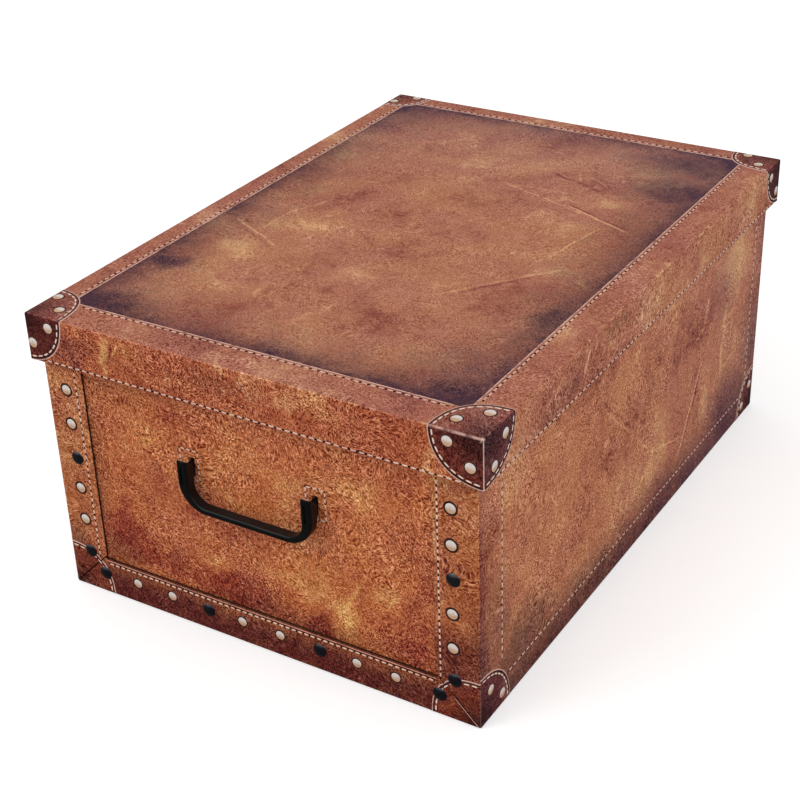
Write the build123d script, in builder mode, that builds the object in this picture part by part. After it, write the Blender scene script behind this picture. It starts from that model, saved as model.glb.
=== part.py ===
from build123d import *

import os
from math import cos, radians, sin, tan

# Photo storage box of folded, laminated corrugated board: a tray whose two short
# ends are closed by riveted panels, a lift-off lid, and a bail handle on each end.
# Millimetres. +Z is up, the origin is the middle of the tray's underside, and the
# short ends face -Y (front) and +Y (rear).

os.makedirs("parts", exist_ok=True)

# ---- Board and overall size -------------------------------------------------
lid_length = 510.0  # along Y, over the lid's rims
lid_width = 367.2  # along X, over the lid's rims
box_height = 231.3  # underside of the tray to the top of the lid
rim_depth = 37.4  # height of the lid's rims
board = 1.8  # one thickness of corrugated board
lid_play_side = 3.6  # gap between a long wall and the lid's rim
lid_play_end = 2.4  # gap between an end and the lid's rim
fold_radius = 1.5  # outside radius of every fold of the board
roll_radius = 1.2  # rounding of an edge where the board is folded back on itself
panel_gap = 0.3  # gap between an end panel and the walls beside it

# ---- Flaps that wrap round the ends -----------------------------------------
post_width = 34.0  # upright flap, from the tray's side to its free edge
sill_height = 31.6  # bottom flap, from the floor to its free edge
mitre_gap = 0.8  # slit between an upright flap and the bottom flap

# ---- Snap rivets ------------------------------------------------------------
rivet_head_radius = 5.2
rivet_head_height = 2.6
rivet_rim = 0.7  # straight edge of the head below its dome
rivet_shank_radius = 2.4
rivet_hole_play = 0.25  # round the shank, in the board and in the cap
rivet_cap_radius = 5.5
rivet_cap_height = 1.8
rivet_tail = 1.2  # part of the shank that the cap grips
post_rivet_inset = 19.3  # upright flaps: from the tray's side
post_rivet_heights = (34.3, 116.0)
sill_rivet_height = 18.0
sill_rivet_inset = 31.2  # bottom flap: outermost rivet from the tray's side
sill_rivet_count = 4

# ---- Bail handles -----------------------------------------------------------
leg_spacing = 102.4  # between the middles of the two legs
leg_width = 8.4
handle_depth = 9.0  # front to back
handle_standoff = 3.4  # back of the legs to the panel
bar_height = 4.8
bar_drop = 30.9  # swing axis down to the underside of the bar
handle_corner = 22.0  # outside radius of the lower corners
handle_edge = 1.8  # rounding along the grip
leg_shoulder = 3.0  # rounding of a leg's top, seen from the front
leg_top_edge = 0.8  # rounding round the slanted tops of the legs
swing_axis_height = 141.3
swing_limit = 50.0  # degrees that the bail lifts out from the end
swing_play = 0.3  # clearance of the moving bail
shank_height = 3.2  # where a leg passes through the panel
shank_width = 4.2
slot_play = 0.4  # beside the shank, in the slot
anchor_radius = 2.0  # cross-bar that holds a shank behind the panel
anchor_length = 11.0
pad_drop = 9.0  # foot of a leg's resting pad, below the swing axis
groove_width = 2.4  # moulded groove down the front of a leg
groove_depth = 0.7
groove_length = 15.0
groove_drop = 3.0  # middle of the groove, below the swing axis

# ---- Worked out from those --------------------------------------------------
double_wall = 2 * board
tray_width = lid_width - 2 * (double_wall + lid_play_side)
tray_length = lid_length - 2 * (double_wall + lid_play_end)
tray_height = box_height - board
side_face = tray_width / 2
end_face = tray_length / 2
panel_face = end_face - board
panel_middle = panel_face - double_wall / 2
panel_back = panel_face - double_wall
panel_width = tray_width - 2 * (board + panel_gap)
hole_radius = rivet_shank_radius + rivet_hole_play

swing = radians(swing_limit)
slot_width = shank_width + 2 * slot_play
slot_height = shank_height / cos(swing) + double_wall * tan(swing) + 2 * swing_play
anchor_behind = (double_wall / 2 + swing_play + anchor_radius) / cos(swing)
leg_back = double_wall / 2 + handle_standoff  # from the swing axis, outwards
leg_front = leg_back + handle_depth
leg_outside = (leg_spacing + leg_width) / 2
leg_inside = (leg_spacing - leg_width) / 2


def slant_height(reach):
    """How high above the swing axis the bail may stand, this far out from it.

    At the swing limit, a point on that slant is just clear of the panel."""
    return (reach * cos(swing) - double_wall / 2 - swing_play) / sin(swing)


# ---- Places that repeat -----------------------------------------------------
post_rivet_x = side_face - post_rivet_inset
sill_rivet_x = side_face - sill_rivet_inset
sill_pitch = 2 * sill_rivet_x / (sill_rivet_count - 1)
rivet_spots = [(side * post_rivet_x, z) for z in post_rivet_heights for side in (-1, 1)]
rivet_spots += [(i * sill_pitch - sill_rivet_x, sill_rivet_height) for i in range(sill_rivet_count)]
leg_spots = [(-leg_spacing / 2, swing_axis_height), (leg_spacing / 2, swing_axis_height)]


def front_plane(depth=0.0):
    """Looks at the front end square on: local X is X, local Y is Z, and depth is
    measured inwards from the tray's end face. Extruding goes outwards."""
    return Plane((0, depth - end_face, 0), x_dir=(1, 0, 0), z_dir=(0, -1, 0))


def turned(front_part):
    """The rear end's copy of a front piece: half a turn about the box's middle."""
    with BuildPart() as rear:
        add(front_part, rotation=(0, 0, 180))
    return rear.part


def save(piece, label):
    """Labels a finished piece and writes it under that name."""
    piece.label = label
    export_step(piece, f"parts/{label}.step")


# ---- Tray: floor, two long walls, four upright flaps and two bottom flaps ----
mitre_top = post_width  # height at which the 45-degree mitre meets the flap's edge
half_slit = mitre_gap * 2**0.5 / 2

with BuildPart() as tray:
    with BuildSketch(Plane.XY):
        RectangleRounded(tray_width, tray_length, fold_radius)
    extrude(amount=tray_height)
    fillet(tray.edges().group_by(Axis.Z)[0], fold_radius)
    with BuildSketch(Plane.XY.offset(board)):
        Rectangle(tray_width - 2 * board, tray_length - 2 * board)
    extrude(amount=tray_height - board, mode=Mode.SUBTRACT)
    # The window that the end panel shows through, down to the bottom flap, and the
    # mitre slits that run on from its lower corners to the corners of the tray.
    edge_x = side_face - post_width
    sill_x = side_face - sill_height - half_slit
    slit_foot = board + 2 * half_slit
    with BuildSketch(front_plane(board)):
        with BuildLine():
            Polyline(
                (-edge_x, tray_height + board),
                (-edge_x, mitre_top + half_slit),
                (-side_face + slit_foot, slit_foot + half_slit),
                (-side_face + slit_foot, slit_foot - half_slit),
                (-sill_x, sill_height),
                (sill_x, sill_height),
                (side_face - slit_foot, slit_foot - half_slit),
                (side_face - slit_foot, slit_foot + half_slit),
                (edge_x, mitre_top + half_slit),
                (edge_x, tray_height + board),
                close=True,
            )
        make_face()
    extrude(amount=tray_length, both=True, mode=Mode.SUBTRACT)
    # Rivet holes, straight through both ends.
    with BuildSketch(front_plane()):
        with Locations(*rivet_spots):
            Circle(hole_radius)
    extrude(amount=-tray_length, mode=Mode.SUBTRACT)
save(tray.part, "tray")

# ---- End panels: board folded over at the top into a double wall -------------
with BuildPart() as front_panel:
    with BuildSketch(front_plane(board + double_wall)):
        with Locations((0, (board + tray_height) / 2)):
            Rectangle(panel_width, tray_height - board)
    extrude(amount=double_wall)
    fillet(front_panel.edges().group_by(Axis.Z)[-1].filter_by(Axis.X), roll_radius)
    with BuildSketch(front_plane(board)):
        with Locations(*rivet_spots):
            Circle(hole_radius)
        with Locations(*leg_spots):
            Rectangle(slot_width, slot_height)
    extrude(amount=-double_wall, mode=Mode.SUBTRACT)
save(front_panel.part, "front_panel")
save(turned(front_panel.part), "rear_panel")

# ---- Lid: a flat top with four rims folded back on themselves -----------------
with BuildPart() as lid:
    with BuildSketch(Plane.XY.offset(box_height - rim_depth)):
        RectangleRounded(lid_width, lid_length, fold_radius)
    extrude(amount=rim_depth)
    with BuildSketch(Plane.XY.offset(box_height - rim_depth)):
        Rectangle(lid_width - 2 * double_wall, lid_length - 2 * double_wall)
    extrude(amount=rim_depth - board, mode=Mode.SUBTRACT)
    fillet(lid.edges().group_by(Axis.Z)[0], roll_radius)
    fillet(lid.edges().group_by(Axis.Z)[-1], fold_radius)
save(lid.part, "lid")

# ---- Bail handle: a grip between two legs, hung in two slots of the panel -----
bar_bottom = swing_axis_height - bar_drop
leg_top = swing_axis_height + slant_height(leg_front)

with BuildPart() as front_handle:
    with BuildSketch(front_plane(board - handle_standoff)) as bail:
        with BuildLine():
            outside = FilletPolyline(
                (-leg_outside, leg_top),
                (-leg_outside, bar_bottom),
                (leg_outside, bar_bottom),
                (leg_outside, leg_top),
                radius=handle_corner,
            )
            inside = FilletPolyline(
                (-leg_inside, leg_top),
                (-leg_inside, bar_bottom + bar_height),
                (leg_inside, bar_bottom + bar_height),
                (leg_inside, leg_top),
                radius=handle_corner - leg_width,
            )
            Line(outside @ 0, inside @ 0)
            Line(outside @ 1, inside @ 1)
        make_face()
        fillet(bail.vertices().group_by(Axis.Y)[-1], leg_shoulder)
    extrude(amount=handle_depth)
    fillet(front_handle.faces().sort_by(Axis.Y)[0].edges(), handle_edge)
    fillet(front_handle.faces().sort_by(Axis.Y)[-1].edges(), handle_edge)
    # A groove down the front of each leg.
    with BuildSketch(front_plane(board - handle_standoff - handle_depth)):
        with Locations(*[(x, z - groove_drop) for x, z in leg_spots]):
            SlotOverall(groove_length, groove_width, rotation=90)
    extrude(amount=-groove_depth, mode=Mode.SUBTRACT)
    # A pad behind each leg that rests against the panel, below the slot's middle.
    pad_top = slant_height(double_wall / 2 + swing_play)
    with BuildSketch(front_plane(board - swing_play)):
        with Locations(*[(x, z - (pad_drop - pad_top) / 2) for x, z in leg_spots]):
            Rectangle(leg_width - 2 * handle_edge, pad_drop + pad_top)
    extrude(amount=handle_standoff - swing_play + handle_depth / 2)
    # Everything above the slant goes, so that the bail can swing out.
    side_view = Plane(
        (0, -panel_middle, swing_axis_height), x_dir=(0, -1, 0), z_dir=(-1, 0, 0)
    )
    near, far = double_wall / 2, 2 * leg_front
    with BuildSketch(side_view):
        Polygon(
            (near, slant_height(near)),
            (far, slant_height(far)),
            (near, slant_height(far)),
            align=None,
        )
    extrude(amount=2 * leg_spacing, both=True, mode=Mode.SUBTRACT)
    leg_tops = front_handle.faces().filter_by(
        lambda face: abs(face.normal_at().Z - sin(swing)) < 0.01
    )
    fillet(leg_tops.edges(), leg_top_edge)
    # Shanks through the slots, and the cross-bars behind the panel.
    with BuildSketch(front_plane(board + double_wall / 2 + anchor_behind)):
        with Locations(*leg_spots):
            Rectangle(shank_width, shank_height)
    extrude(amount=anchor_behind + leg_back + handle_depth / 4)
    anchor_plane = Plane(
        (0, anchor_behind - panel_middle, swing_axis_height), z_dir=(1, 0, 0)
    )
    for x, _ in leg_spots:
        with BuildSketch(anchor_plane.offset(x - anchor_length / 2)):
            Circle(anchor_radius)
        extrude(amount=anchor_length)
save(front_handle.part, "front_handle")
save(turned(front_handle.part), "rear_handle")


# ---- Snap rivets: a domed stud outside, a cap gripping its tail inside --------
def rivet_stud(x, z):
    """A stud in the front end, turned about its own axis."""
    grip = board + double_wall
    rise = rivet_head_height - rivet_rim
    dome_radius = (rivet_head_radius**2 + rise**2) / (2 * rise)
    halfway = rivet_head_radius / 2
    halfway_drop = dome_radius - (dome_radius**2 - halfway**2) ** 0.5
    with BuildPart() as stud:
        with BuildSketch(Plane((x, -end_face, z))):
            with BuildLine():
                Polyline(
                    (0, -rivet_head_height),
                    (0, grip + rivet_tail),
                    (rivet_shank_radius, grip + rivet_tail),
                    (rivet_shank_radius, 0),
                    (rivet_head_radius, 0),
                    (rivet_head_radius, -rivet_rim),
                )
                ThreePointArc(
                    (rivet_head_radius, -rivet_rim),
                    (halfway, halfway_drop - rivet_head_height),
                    (0, -rivet_head_height),
                )
            make_face()
        revolve(axis=Axis((x, -end_face, z), (0, 1, 0)))
    return stud.part


def rivet_cap(x, z):
    """The cap of that stud, against the back of the panel."""
    with BuildPart() as cap:
        with BuildSketch(Plane((x, -panel_back, z), x_dir=(1, 0, 0), z_dir=(0, 1, 0))):
            Circle(rivet_cap_radius)
        extrude(amount=rivet_cap_height)
        fillet(cap.edges().sort_by(Axis.Y)[-1], rivet_cap_height / 2)
        with BuildSketch(Plane((x, -panel_back, z), x_dir=(1, 0, 0), z_dir=(0, 1, 0))):
            Circle(hole_radius)
        extrude(amount=rivet_tail + rivet_hole_play, mode=Mode.SUBTRACT)
    return cap.part


for number, (x, z) in enumerate(rivet_spots, 1):
    stud = rivet_stud(x, z)
    cap = rivet_cap(x, z)
    save(stud, f"front_rivet_{number}")
    save(cap, f"front_rivet_cap_{number}")
    save(turned(stud), f"rear_rivet_{number}")
    save(turned(cap), f"rear_rivet_cap_{number}")
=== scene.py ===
# %% [markdown]
# # A photo storage box in printed leather
#
# The real box is folded from thin corrugated board. The board is laminated with paper
# that is printed like old leather: tan hide, dark corner patches, stitched seams and
# pale studs. Only two things on it aren't print: the black plastic handles, and the
# black snap rivets that hold the ends together.
#
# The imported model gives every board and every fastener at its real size. This script
# dresses it. All numbers are millimetres, until `MM` turns them into Blender's metres.
# Only the floor, the lamps and the camera are placed in metres.

# %% Load the frame
from functools import reduce

import bmesh
import bpy
import numpy as np
from mathutils import Matrix, Vector


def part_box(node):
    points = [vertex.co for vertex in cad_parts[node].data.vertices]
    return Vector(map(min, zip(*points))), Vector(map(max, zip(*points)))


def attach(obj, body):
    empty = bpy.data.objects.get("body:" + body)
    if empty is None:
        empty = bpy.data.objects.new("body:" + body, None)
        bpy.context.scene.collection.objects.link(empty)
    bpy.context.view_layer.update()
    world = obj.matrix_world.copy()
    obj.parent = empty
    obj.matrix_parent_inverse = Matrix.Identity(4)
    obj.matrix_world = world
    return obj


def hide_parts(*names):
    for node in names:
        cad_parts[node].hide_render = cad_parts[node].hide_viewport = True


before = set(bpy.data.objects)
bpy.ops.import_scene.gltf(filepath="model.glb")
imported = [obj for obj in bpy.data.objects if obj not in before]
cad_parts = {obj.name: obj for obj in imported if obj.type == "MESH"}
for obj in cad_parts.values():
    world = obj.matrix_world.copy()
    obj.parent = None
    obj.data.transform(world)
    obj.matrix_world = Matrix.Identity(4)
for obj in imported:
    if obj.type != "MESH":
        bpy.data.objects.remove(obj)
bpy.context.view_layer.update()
MM = 0.001
print("nodes in the frame:", len(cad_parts))

# %% [markdown]
# ## Sizes that everything else follows
#
# The lid and the tray are boxes with rounded folds, so their lowest and highest corners
# say almost all that is needed. The finish is laid on a surface that is set back a
# little from the CAD faces of the lid, which leaves room for the relief of the print.

# %% Read the sizes of the boards
lid_low, lid_high = (np.array(corner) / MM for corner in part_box("lid"))
tray_low, tray_high = (np.array(corner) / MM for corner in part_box("tray"))

SET_BACK = 0.5  # printed face of the lid, behind the CAD face
FOLD = 1.5  # outside radius of every fold
ROLL = 1.2  # rounding where the board is folded back on itself
BOARD = lid_high[2] - tray_high[2]  # the tray's walls stop one board below the lid's top
LEAF = 2 * BOARD  # a rim or an end panel is the board folded double

skin_low, skin_high = lid_low + SET_BACK, lid_high - SET_BACK
LID_X, LID_Y, LID_TOP = skin_high
LID_FOOT = lid_low[2]
TRAY_X, TRAY_Y, TRAY_TOP = tray_high
print("lid", np.round(lid_high - lid_low, 1), "tray", np.round(tray_high - tray_low, 1))

# %% [markdown]
# ## Mesh tools
#
# Every new piece is a grid of points worked out by numpy. Points that fall on the same
# spot are welded, so that poles and seams are closed, and the faces are then turned to
# point outwards. A ready-made cube or sphere would need cutting and bending to get the
# same shape, and each cut would leave stray edges.


# %% Grids and welds
def grid_faces(rows, columns, around=False):
    """Quads between neighbouring points of a rows x columns grid, whose columns may
    close into a ring."""
    row = np.arange(rows - 1)[:, None] * columns
    left = np.arange(columns if around else columns - 1)[None, :]
    right = (left + 1) % columns
    corners = [row + left, row + right, row + columns + right, row + columns + left]
    return np.stack(corners, -1).reshape(-1, 4)


def copies(faces, points_each, count):
    """The same faces for count copies of a mesh that stand one after another."""
    shift = (np.arange(count) * points_each)[:, None, None]
    return (faces[None] + shift).reshape(-1, faces.shape[-1])


def weld(points, faces, *attributes):
    """Joins points that lie within a ten-thousandth of a millimetre of each other."""
    _, kept, new_number = np.unique(
        np.round(points, 4), axis=0, return_index=True, return_inverse=True
    )
    faces = new_number.reshape(-1)[faces]
    return points[kept], faces, *(values[kept] for values in attributes)


def quads_and_triangles(faces):
    """Turns a quad that lost an edge in welding into a triangle, and drops slivers.
    Returns lists of faces, and each face's number before."""
    number = np.arange(len(faces))
    same = faces == np.roll(faces, -1, axis=1)
    lists = faces[~same.any(1)].tolist()
    order = [number[~same.any(1)]]
    for corner in range(4):
        chosen = same[:, corner] & (same.sum(1) == 1)
        lists += np.delete(faces[chosen], corner, axis=1).tolist()
        order.append(number[chosen])
    return lists, np.concatenate(order)


def join_meshes(parts):
    """Joins meshes, each given as points, faces and some values for its points."""
    points, faces, *values = zip(*parts)
    first = np.cumsum([0, *map(len, points[:-1])])
    faces = [each + shift for each, shift in zip(faces, first)]
    return np.concatenate(points), np.concatenate(faces), *map(np.concatenate, values)


# %% From points to a piece
def make_piece(name, points, faces, finishes, body, face_finish=None, **attributes):
    """Makes a closed mesh from points in millimetres, gives it its finishes and lets it
    ride on a body. An attribute is one number for each point."""
    names = list(attributes)
    points, faces, *values = weld(points, faces, *attributes.values())
    lists, order = quads_and_triangles(faces)
    mesh = bpy.data.meshes.new(name)
    mesh.from_pydata((points * MM).tolist(), [], lists)
    for finish in finishes:
        mesh.materials.append(finish)
    if face_finish is not None:
        mesh.polygons.foreach_set("material_index", face_finish[order].astype(np.int32))
    for label, value in zip(names, values):
        layer = mesh.attributes.new(label, "FLOAT", "POINT")
        layer.data.foreach_set("value", value.astype(np.float32))
    shape = bmesh.new()
    shape.from_mesh(mesh)
    bmesh.ops.recalc_face_normals(shape, faces=shape.faces)
    shape.to_mesh(mesh)
    shape.free()
    mesh.shade_smooth()
    piece = bpy.data.objects.new(name, mesh)
    bpy.context.scene.collection.objects.link(piece)
    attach(piece, body)
    print(f"{name}: {len(mesh.vertices)} points, {len(mesh.polygons)} faces")
    return piece


# %% [markdown]
# ## A box with rounded folds
#
# Print runs over the folds of the board without a break. So each printed thing is first
# laid out on a box with sharp edges, where its place is easy to say, and then hugged
# onto the rounded box. The hug pulls a point to the nearest spot of a smaller box, one
# fold radius inside, and pushes it out again the way it came.


# %% Hug a sharp box onto a rounded one
NO_FOLD = 50.0  # moves a face out of reach, where the board isn't folded
lid_walls = (skin_low - (0, 0, NO_FOLD), skin_high)
tray_walls = (tray_low, tray_high + (0, 0, NO_FOLD))


def hug(points, lift, walls):
    """Each point goes to core + (FOLD + lift) * direction, where core is the nearest
    point of the box one fold radius inside, and direction runs from there to the point."""
    core = np.clip(points, walls[0] + FOLD, walls[1] - FOLD)
    away = points - core
    away = away / np.linalg.norm(away, axis=-1, keepdims=True)
    return core + away * (FOLD + np.asarray(lift))[..., None]


# %% [markdown]
# ## Node tools
#
# The finishes are node trees. This small class gives short words to the nodes that they
# use, so that a finish reads like a recipe. Lengths inside a finish are millimetres too:
# the Object coordinates are multiplied by a thousand once, at the start.


# %% A short vocabulary for node trees
class Recipe:
    """A node tree, and short words for the nodes that the finishes here are made of."""

    def __init__(self, tree):
        self.tree = tree

    def put(self, kind, inputs=None, out=0, **settings):
        """Adds a node. inputs maps socket names or numbers to values or outputs."""
        node = self.tree.nodes.new(kind)
        for key, value in settings.items():
            setattr(node, key, value)
        for key, value in (inputs or {}).items():
            if isinstance(value, bpy.types.NodeSocket):
                self.tree.links.new(value, node.inputs[key])
            else:
                node.inputs[key].default_value = value
        return node.outputs[out]

    def calc(self, operation, *values):
        """Any sum with numbers. The most common ones have a word of their own below."""
        return self.put("ShaderNodeMath", dict(enumerate(values)), operation=operation)

    def plus(self, first, second):
        return self.calc("ADD", first, second)

    def minus(self, first, second):
        return self.calc("SUBTRACT", first, second)

    def times(self, first, second):
        return self.calc("MULTIPLY", first, second)

    def absolute(self, value):
        return self.calc("ABSOLUTE", value)

    def largest(self, *values):
        """The largest of several numbers."""
        return reduce(lambda found, value: self.calc("MAXIMUM", found, value), values)

    def smallest(self, *values):
        """The smallest of several numbers."""
        return reduce(lambda found, value: self.calc("MINIMUM", found, value), values)

    def short_of(self, edge, value):
        """How far a value, on either side of the middle, stops short of an edge."""
        return self.minus(edge, self.absolute(value))

    def vector(self, operation, *values, out=0, scale=None):
        """Any sum with vectors."""
        inputs = dict(enumerate(values))
        if scale is not None:
            inputs["Scale"] = scale
        return self.put("ShaderNodeVectorMath", inputs, out, operation=operation)

    def ease(self, value, low, high, start=0.0, end=1.0):
        """Runs smoothly from start to end while value goes from low to high."""
        inputs = {0: value, 1: low, 2: high, 3: start, 4: end}
        return self.put("ShaderNodeMapRange", inputs, interpolation_type="SMOOTHSTEP")

    def noise(self, place, size, detail, roughness=0.55, distortion=0.0, out=0):
        """Cloudy noise whose patches are about size millimetres across."""
        inputs = {"Vector": place, "Scale": 1 / size, "Detail": detail}
        inputs |= {"Roughness": roughness, "Distortion": distortion}
        return self.put("ShaderNodeTexNoise", inputs, out)

    def cells(self, place, size):
        """Pebbles about size millimetres across."""
        return self.put("ShaderNodeTexVoronoi", {"Vector": place, "Scale": 1 / size})

    def mix(self, factor, first, second, blend="MIX"):
        """The first colour at factor 0, and the second one at factor 1."""
        inputs = {0: factor, 6: first, 7: second}
        return self.put("ShaderNodeMix", inputs, 2, data_type="RGBA", blend_type=blend)

    def blend(self, factor, first, second):
        """Like mix, for numbers."""
        return self.put("ShaderNodeMix", {0: factor, 2: first, 3: second})

    def fade(self, gap, reach):
        """exp(-gap / reach): 1 at an edge, and less and less away from it."""
        return self.calc("EXPONENT", self.calc("DIVIDE", gap, -reach))

    def sway(self, value, pattern, amount):
        """Moves a value up and down as a noise goes above and below its middle."""
        return self.calc("MULTIPLY_ADD", self.minus(pattern, 0.5), amount, value)

    def band(self, value, middle, inner, outer, strength=1.0):
        """The strength where a value is near a middle one, and 0 further off: it fades
        while the difference goes from inner to outer."""
        return self.ease(self.absolute(self.minus(value, middle)), inner, outer, strength, 0.0)

    def push(self, place, size, reach, detail=3.0):
        """The place pushed about by noise, so that what is painted there is ragged."""
        drift = self.noise(place, size, detail, 0.6, out=1)
        drift = self.vector("SUBTRACT", drift, (0.5, 0.5, 0.5))
        return self.vector("ADD", place, self.vector("SCALE", drift, scale=reach))

    def split(self, vector):
        """The x, y and z of a vector."""
        return tuple(self.put("ShaderNodeSeparateXYZ", {0: vector}).node.outputs)

    def join(self, x, y, z):
        """A vector from three numbers."""
        return self.put("ShaderNodeCombineXYZ", {0: x, 1: y, 2: z})

    def place(self):
        """Object coordinates in millimetres."""
        spot = self.put("ShaderNodeTexCoord", out="Object")
        return self.vector("SCALE", spot, scale=1 / MM)

    def normal(self):
        """The x, y and z of the way a spot faces."""
        return self.split(self.put("ShaderNodeTexCoord", out="Normal"))

    def stored(self, label):
        """A number that is stored at each point of a piece."""
        return self.put("ShaderNodeAttribute", out="Fac", attribute_name=label)


# %% Colours, and a finish to start from
def tint(red, green, blue):
    """A colour written as it shows on screen, 0 to 255, as Blender's linear numbers."""
    shown = np.array([red, green, blue]) / 255
    linear = np.where(shown <= 0.04045, shown / 12.92, ((shown + 0.055) / 1.055) ** 2.4)
    return (*linear.tolist(), 1.0)


def new_finish(name, roughness, specular=0.3):
    """A material with only a Principled shader, and the recipe that dresses it. Its
    shine is low unless it is given, because printed paper shines less than plastic."""
    material = bpy.data.materials.new(name)
    material.use_nodes = True
    shader = material.node_tree.nodes["Principled BSDF"]
    shader.inputs["Roughness"].default_value = roughness
    shader.inputs["Specular IOR Level"].default_value = specular
    return material, Recipe(material.node_tree), shader


def wire(recipe, shader, colour, roughness=None, height=None, depth=0.05):
    """Joins a recipe's results to the shader. Height becomes a bump, depth in mm."""
    recipe.tree.links.new(colour, shader.inputs["Base Color"])
    if roughness is not None:
        recipe.tree.links.new(roughness, shader.inputs["Roughness"])
    if height is not None:
        inputs = {"Strength": 1.0, "Distance": depth * MM, "Height": height}
        bump = recipe.put("ShaderNodeBump", inputs)
        recipe.tree.links.new(bump, shader.inputs["Normal"])


# %% [markdown]
# ## The hide
#
# All the printed leather is one hide in different tones, so the hide is one node group.
# It has clouds as wide as a hand, mottles as wide as a thumb, flecks, and a fine grain
# of dark pores in a net of pale ridges, which is drawn out along the creases of the skin.
# A blush shifts the tan to gold or to rose. Burn turns it to a charred tone, and Pale rubs
# it to a lighter one. The grain is added last, and adds the same step to each ink as it
# shows on screen. That is why the colours go through a Gamma node and back. A picture of
# leather could be used instead, but it would repeat, blur near the camera and bring
# shadows of its own.

# %% The tone of printed hide
CLOUD, MOTTLE, FLECK = 80.0, 17.0, 6.0  # pattern sizes, from wide to fine
CLOUD_DRIFT = 28.0  # how far the clouds are pushed about, which makes them ragged
VEIN, BLUSH = 52.0, 44.0  # pattern sizes of the veins and of the blush
GOLD, ROSE = (1.05, 1.04, 0.92, 1.0), (0.98, 0.9, 0.92, 1.0)  # the colour is multiplied by these
PALE_STEP = 0.38  # how far full Pale lifts the tone
MOST_BURN = 0.97  # a little of the hide shows through any burn


def hide_tone(r, place, ragged, mottle, fleck, pale):
    """One number for how light the hide is: clouds, mottles and flecks added up, with
    pale veins where a noise passes through its middle value."""
    clouds = r.noise(ragged, CLOUD, 4.0, 0.55)
    tone = r.sway(r.sway(r.sway(0.5, clouds, 1.5), mottle, 0.8), fleck, 0.45)
    vein = r.band(r.noise(ragged, VEIN, 4.0, 0.5), 0.5, 0.0, 0.02)
    veined = r.ease(r.noise(place, 60.0, 2.0), 0.45, 0.65, 0.0, 0.3)
    tone = r.calc("MULTIPLY_ADD", vein, veined, tone)
    return r.calc("MULTIPLY_ADD", pale, PALE_STEP, tone)


def hide_colour(r, given):
    """The tone picks a colour between Deep, Tan and Light, the blush shifts it, and the
    burn chars it. Returns the colour and how charred it is."""
    place, burn = given["Place"], given["Burn"]
    ragged = r.push(place, 70.0, CLOUD_DRIFT, 2.0)
    mottle = r.noise(ragged, MOTTLE, 5.0, 0.68, 0.3)
    fleck = r.noise(place, FLECK, 3.0, 0.7)
    tone = hide_tone(r, place, ragged, mottle, fleck, given["Pale"])
    colour = r.mix(r.ease(tone, 0.05, 0.52), given["Deep"], given["Tan"])
    colour = r.mix(r.ease(tone, 0.5, 1.1), colour, given["Light"])
    blush = r.ease(r.noise(ragged, BLUSH, 3.0), 0.36, 0.64)
    colour = r.mix(1.0, colour, r.mix(blush, ROSE, GOLD), blend="MULTIPLY")
    singe = r.sway(r.sway(burn, mottle, 0.9), fleck, 0.5)
    singe = r.smallest(r.largest(singe, 0.0), MOST_BURN)
    singe = r.times(singe, r.ease(burn, 0.0, 0.15))
    return r.mix(singe, colour, given["Char"]), singe


# %% The grain of printed hide
RIDGE, PORE, DUST = 2.2, 1.45, 0.9  # pattern sizes
CREASE_WAY = (0.62, -0.5, -0.6)  # the creases mostly run this way
CREASE_DRAW = 0.36  # how much the grain is drawn out along them
SWIRL, SWIRL_DRIFT = 52.0, 44.0  # the creases bend in swirls
PORE_DRIFT = 2.4  # how far the pores are pushed out of their rows
INK_STEP = 0.3  # the grain's step at full strength, where white paper is 1
SCREEN = 2.2  # exponent between a linear colour and how bright it shows


def hide_grain(r, place):
    """Pores are the middles of cells, and hairs are thin lines where a noise passes
    through its middle value. Shortening a place along the creases draws both out.
    Returns the grain, about 0 in the mean, and its height."""
    swirl = r.push(place, SWIRL, SWIRL_DRIFT, 2.0)
    along = r.times(r.vector("DOT_PRODUCT", swirl, CREASE_WAY, out="Value"), CREASE_DRAW)
    drawn = r.vector("SUBTRACT", swirl, r.vector("SCALE", CREASE_WAY, scale=along))
    bent = r.push(drawn, 3.2, PORE_DRIFT, 2.0)
    net = r.ease(r.cells(bent, PORE), 0.1, 0.62)
    hair = r.band(r.noise(bent, RIDGE, 2.0, 0.6, 0.8), 0.5, 0.0, 0.055)
    dust = r.noise(place, DUST, 2.0, 0.6)
    grain = r.calc("MULTIPLY_ADD", hair, 0.8, r.minus(net, 1.0))
    return r.sway(grain, dust, 1.7), r.sway(net, dust, 1.0)


def ink(r, colour, grain, strength):
    """Adds the same step to red, green and blue as they show on screen."""
    step = r.times(grain, r.times(strength, INK_STEP))
    shown = r.put("ShaderNodeGamma", {0: colour, 1: 1 / SCREEN})
    shown = r.vector("MAXIMUM", r.vector("ADD", shown, r.join(step, step, step)), (0, 0, 0))
    return r.put("ShaderNodeGamma", {0: shown, 1: SCREEN})


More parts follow.
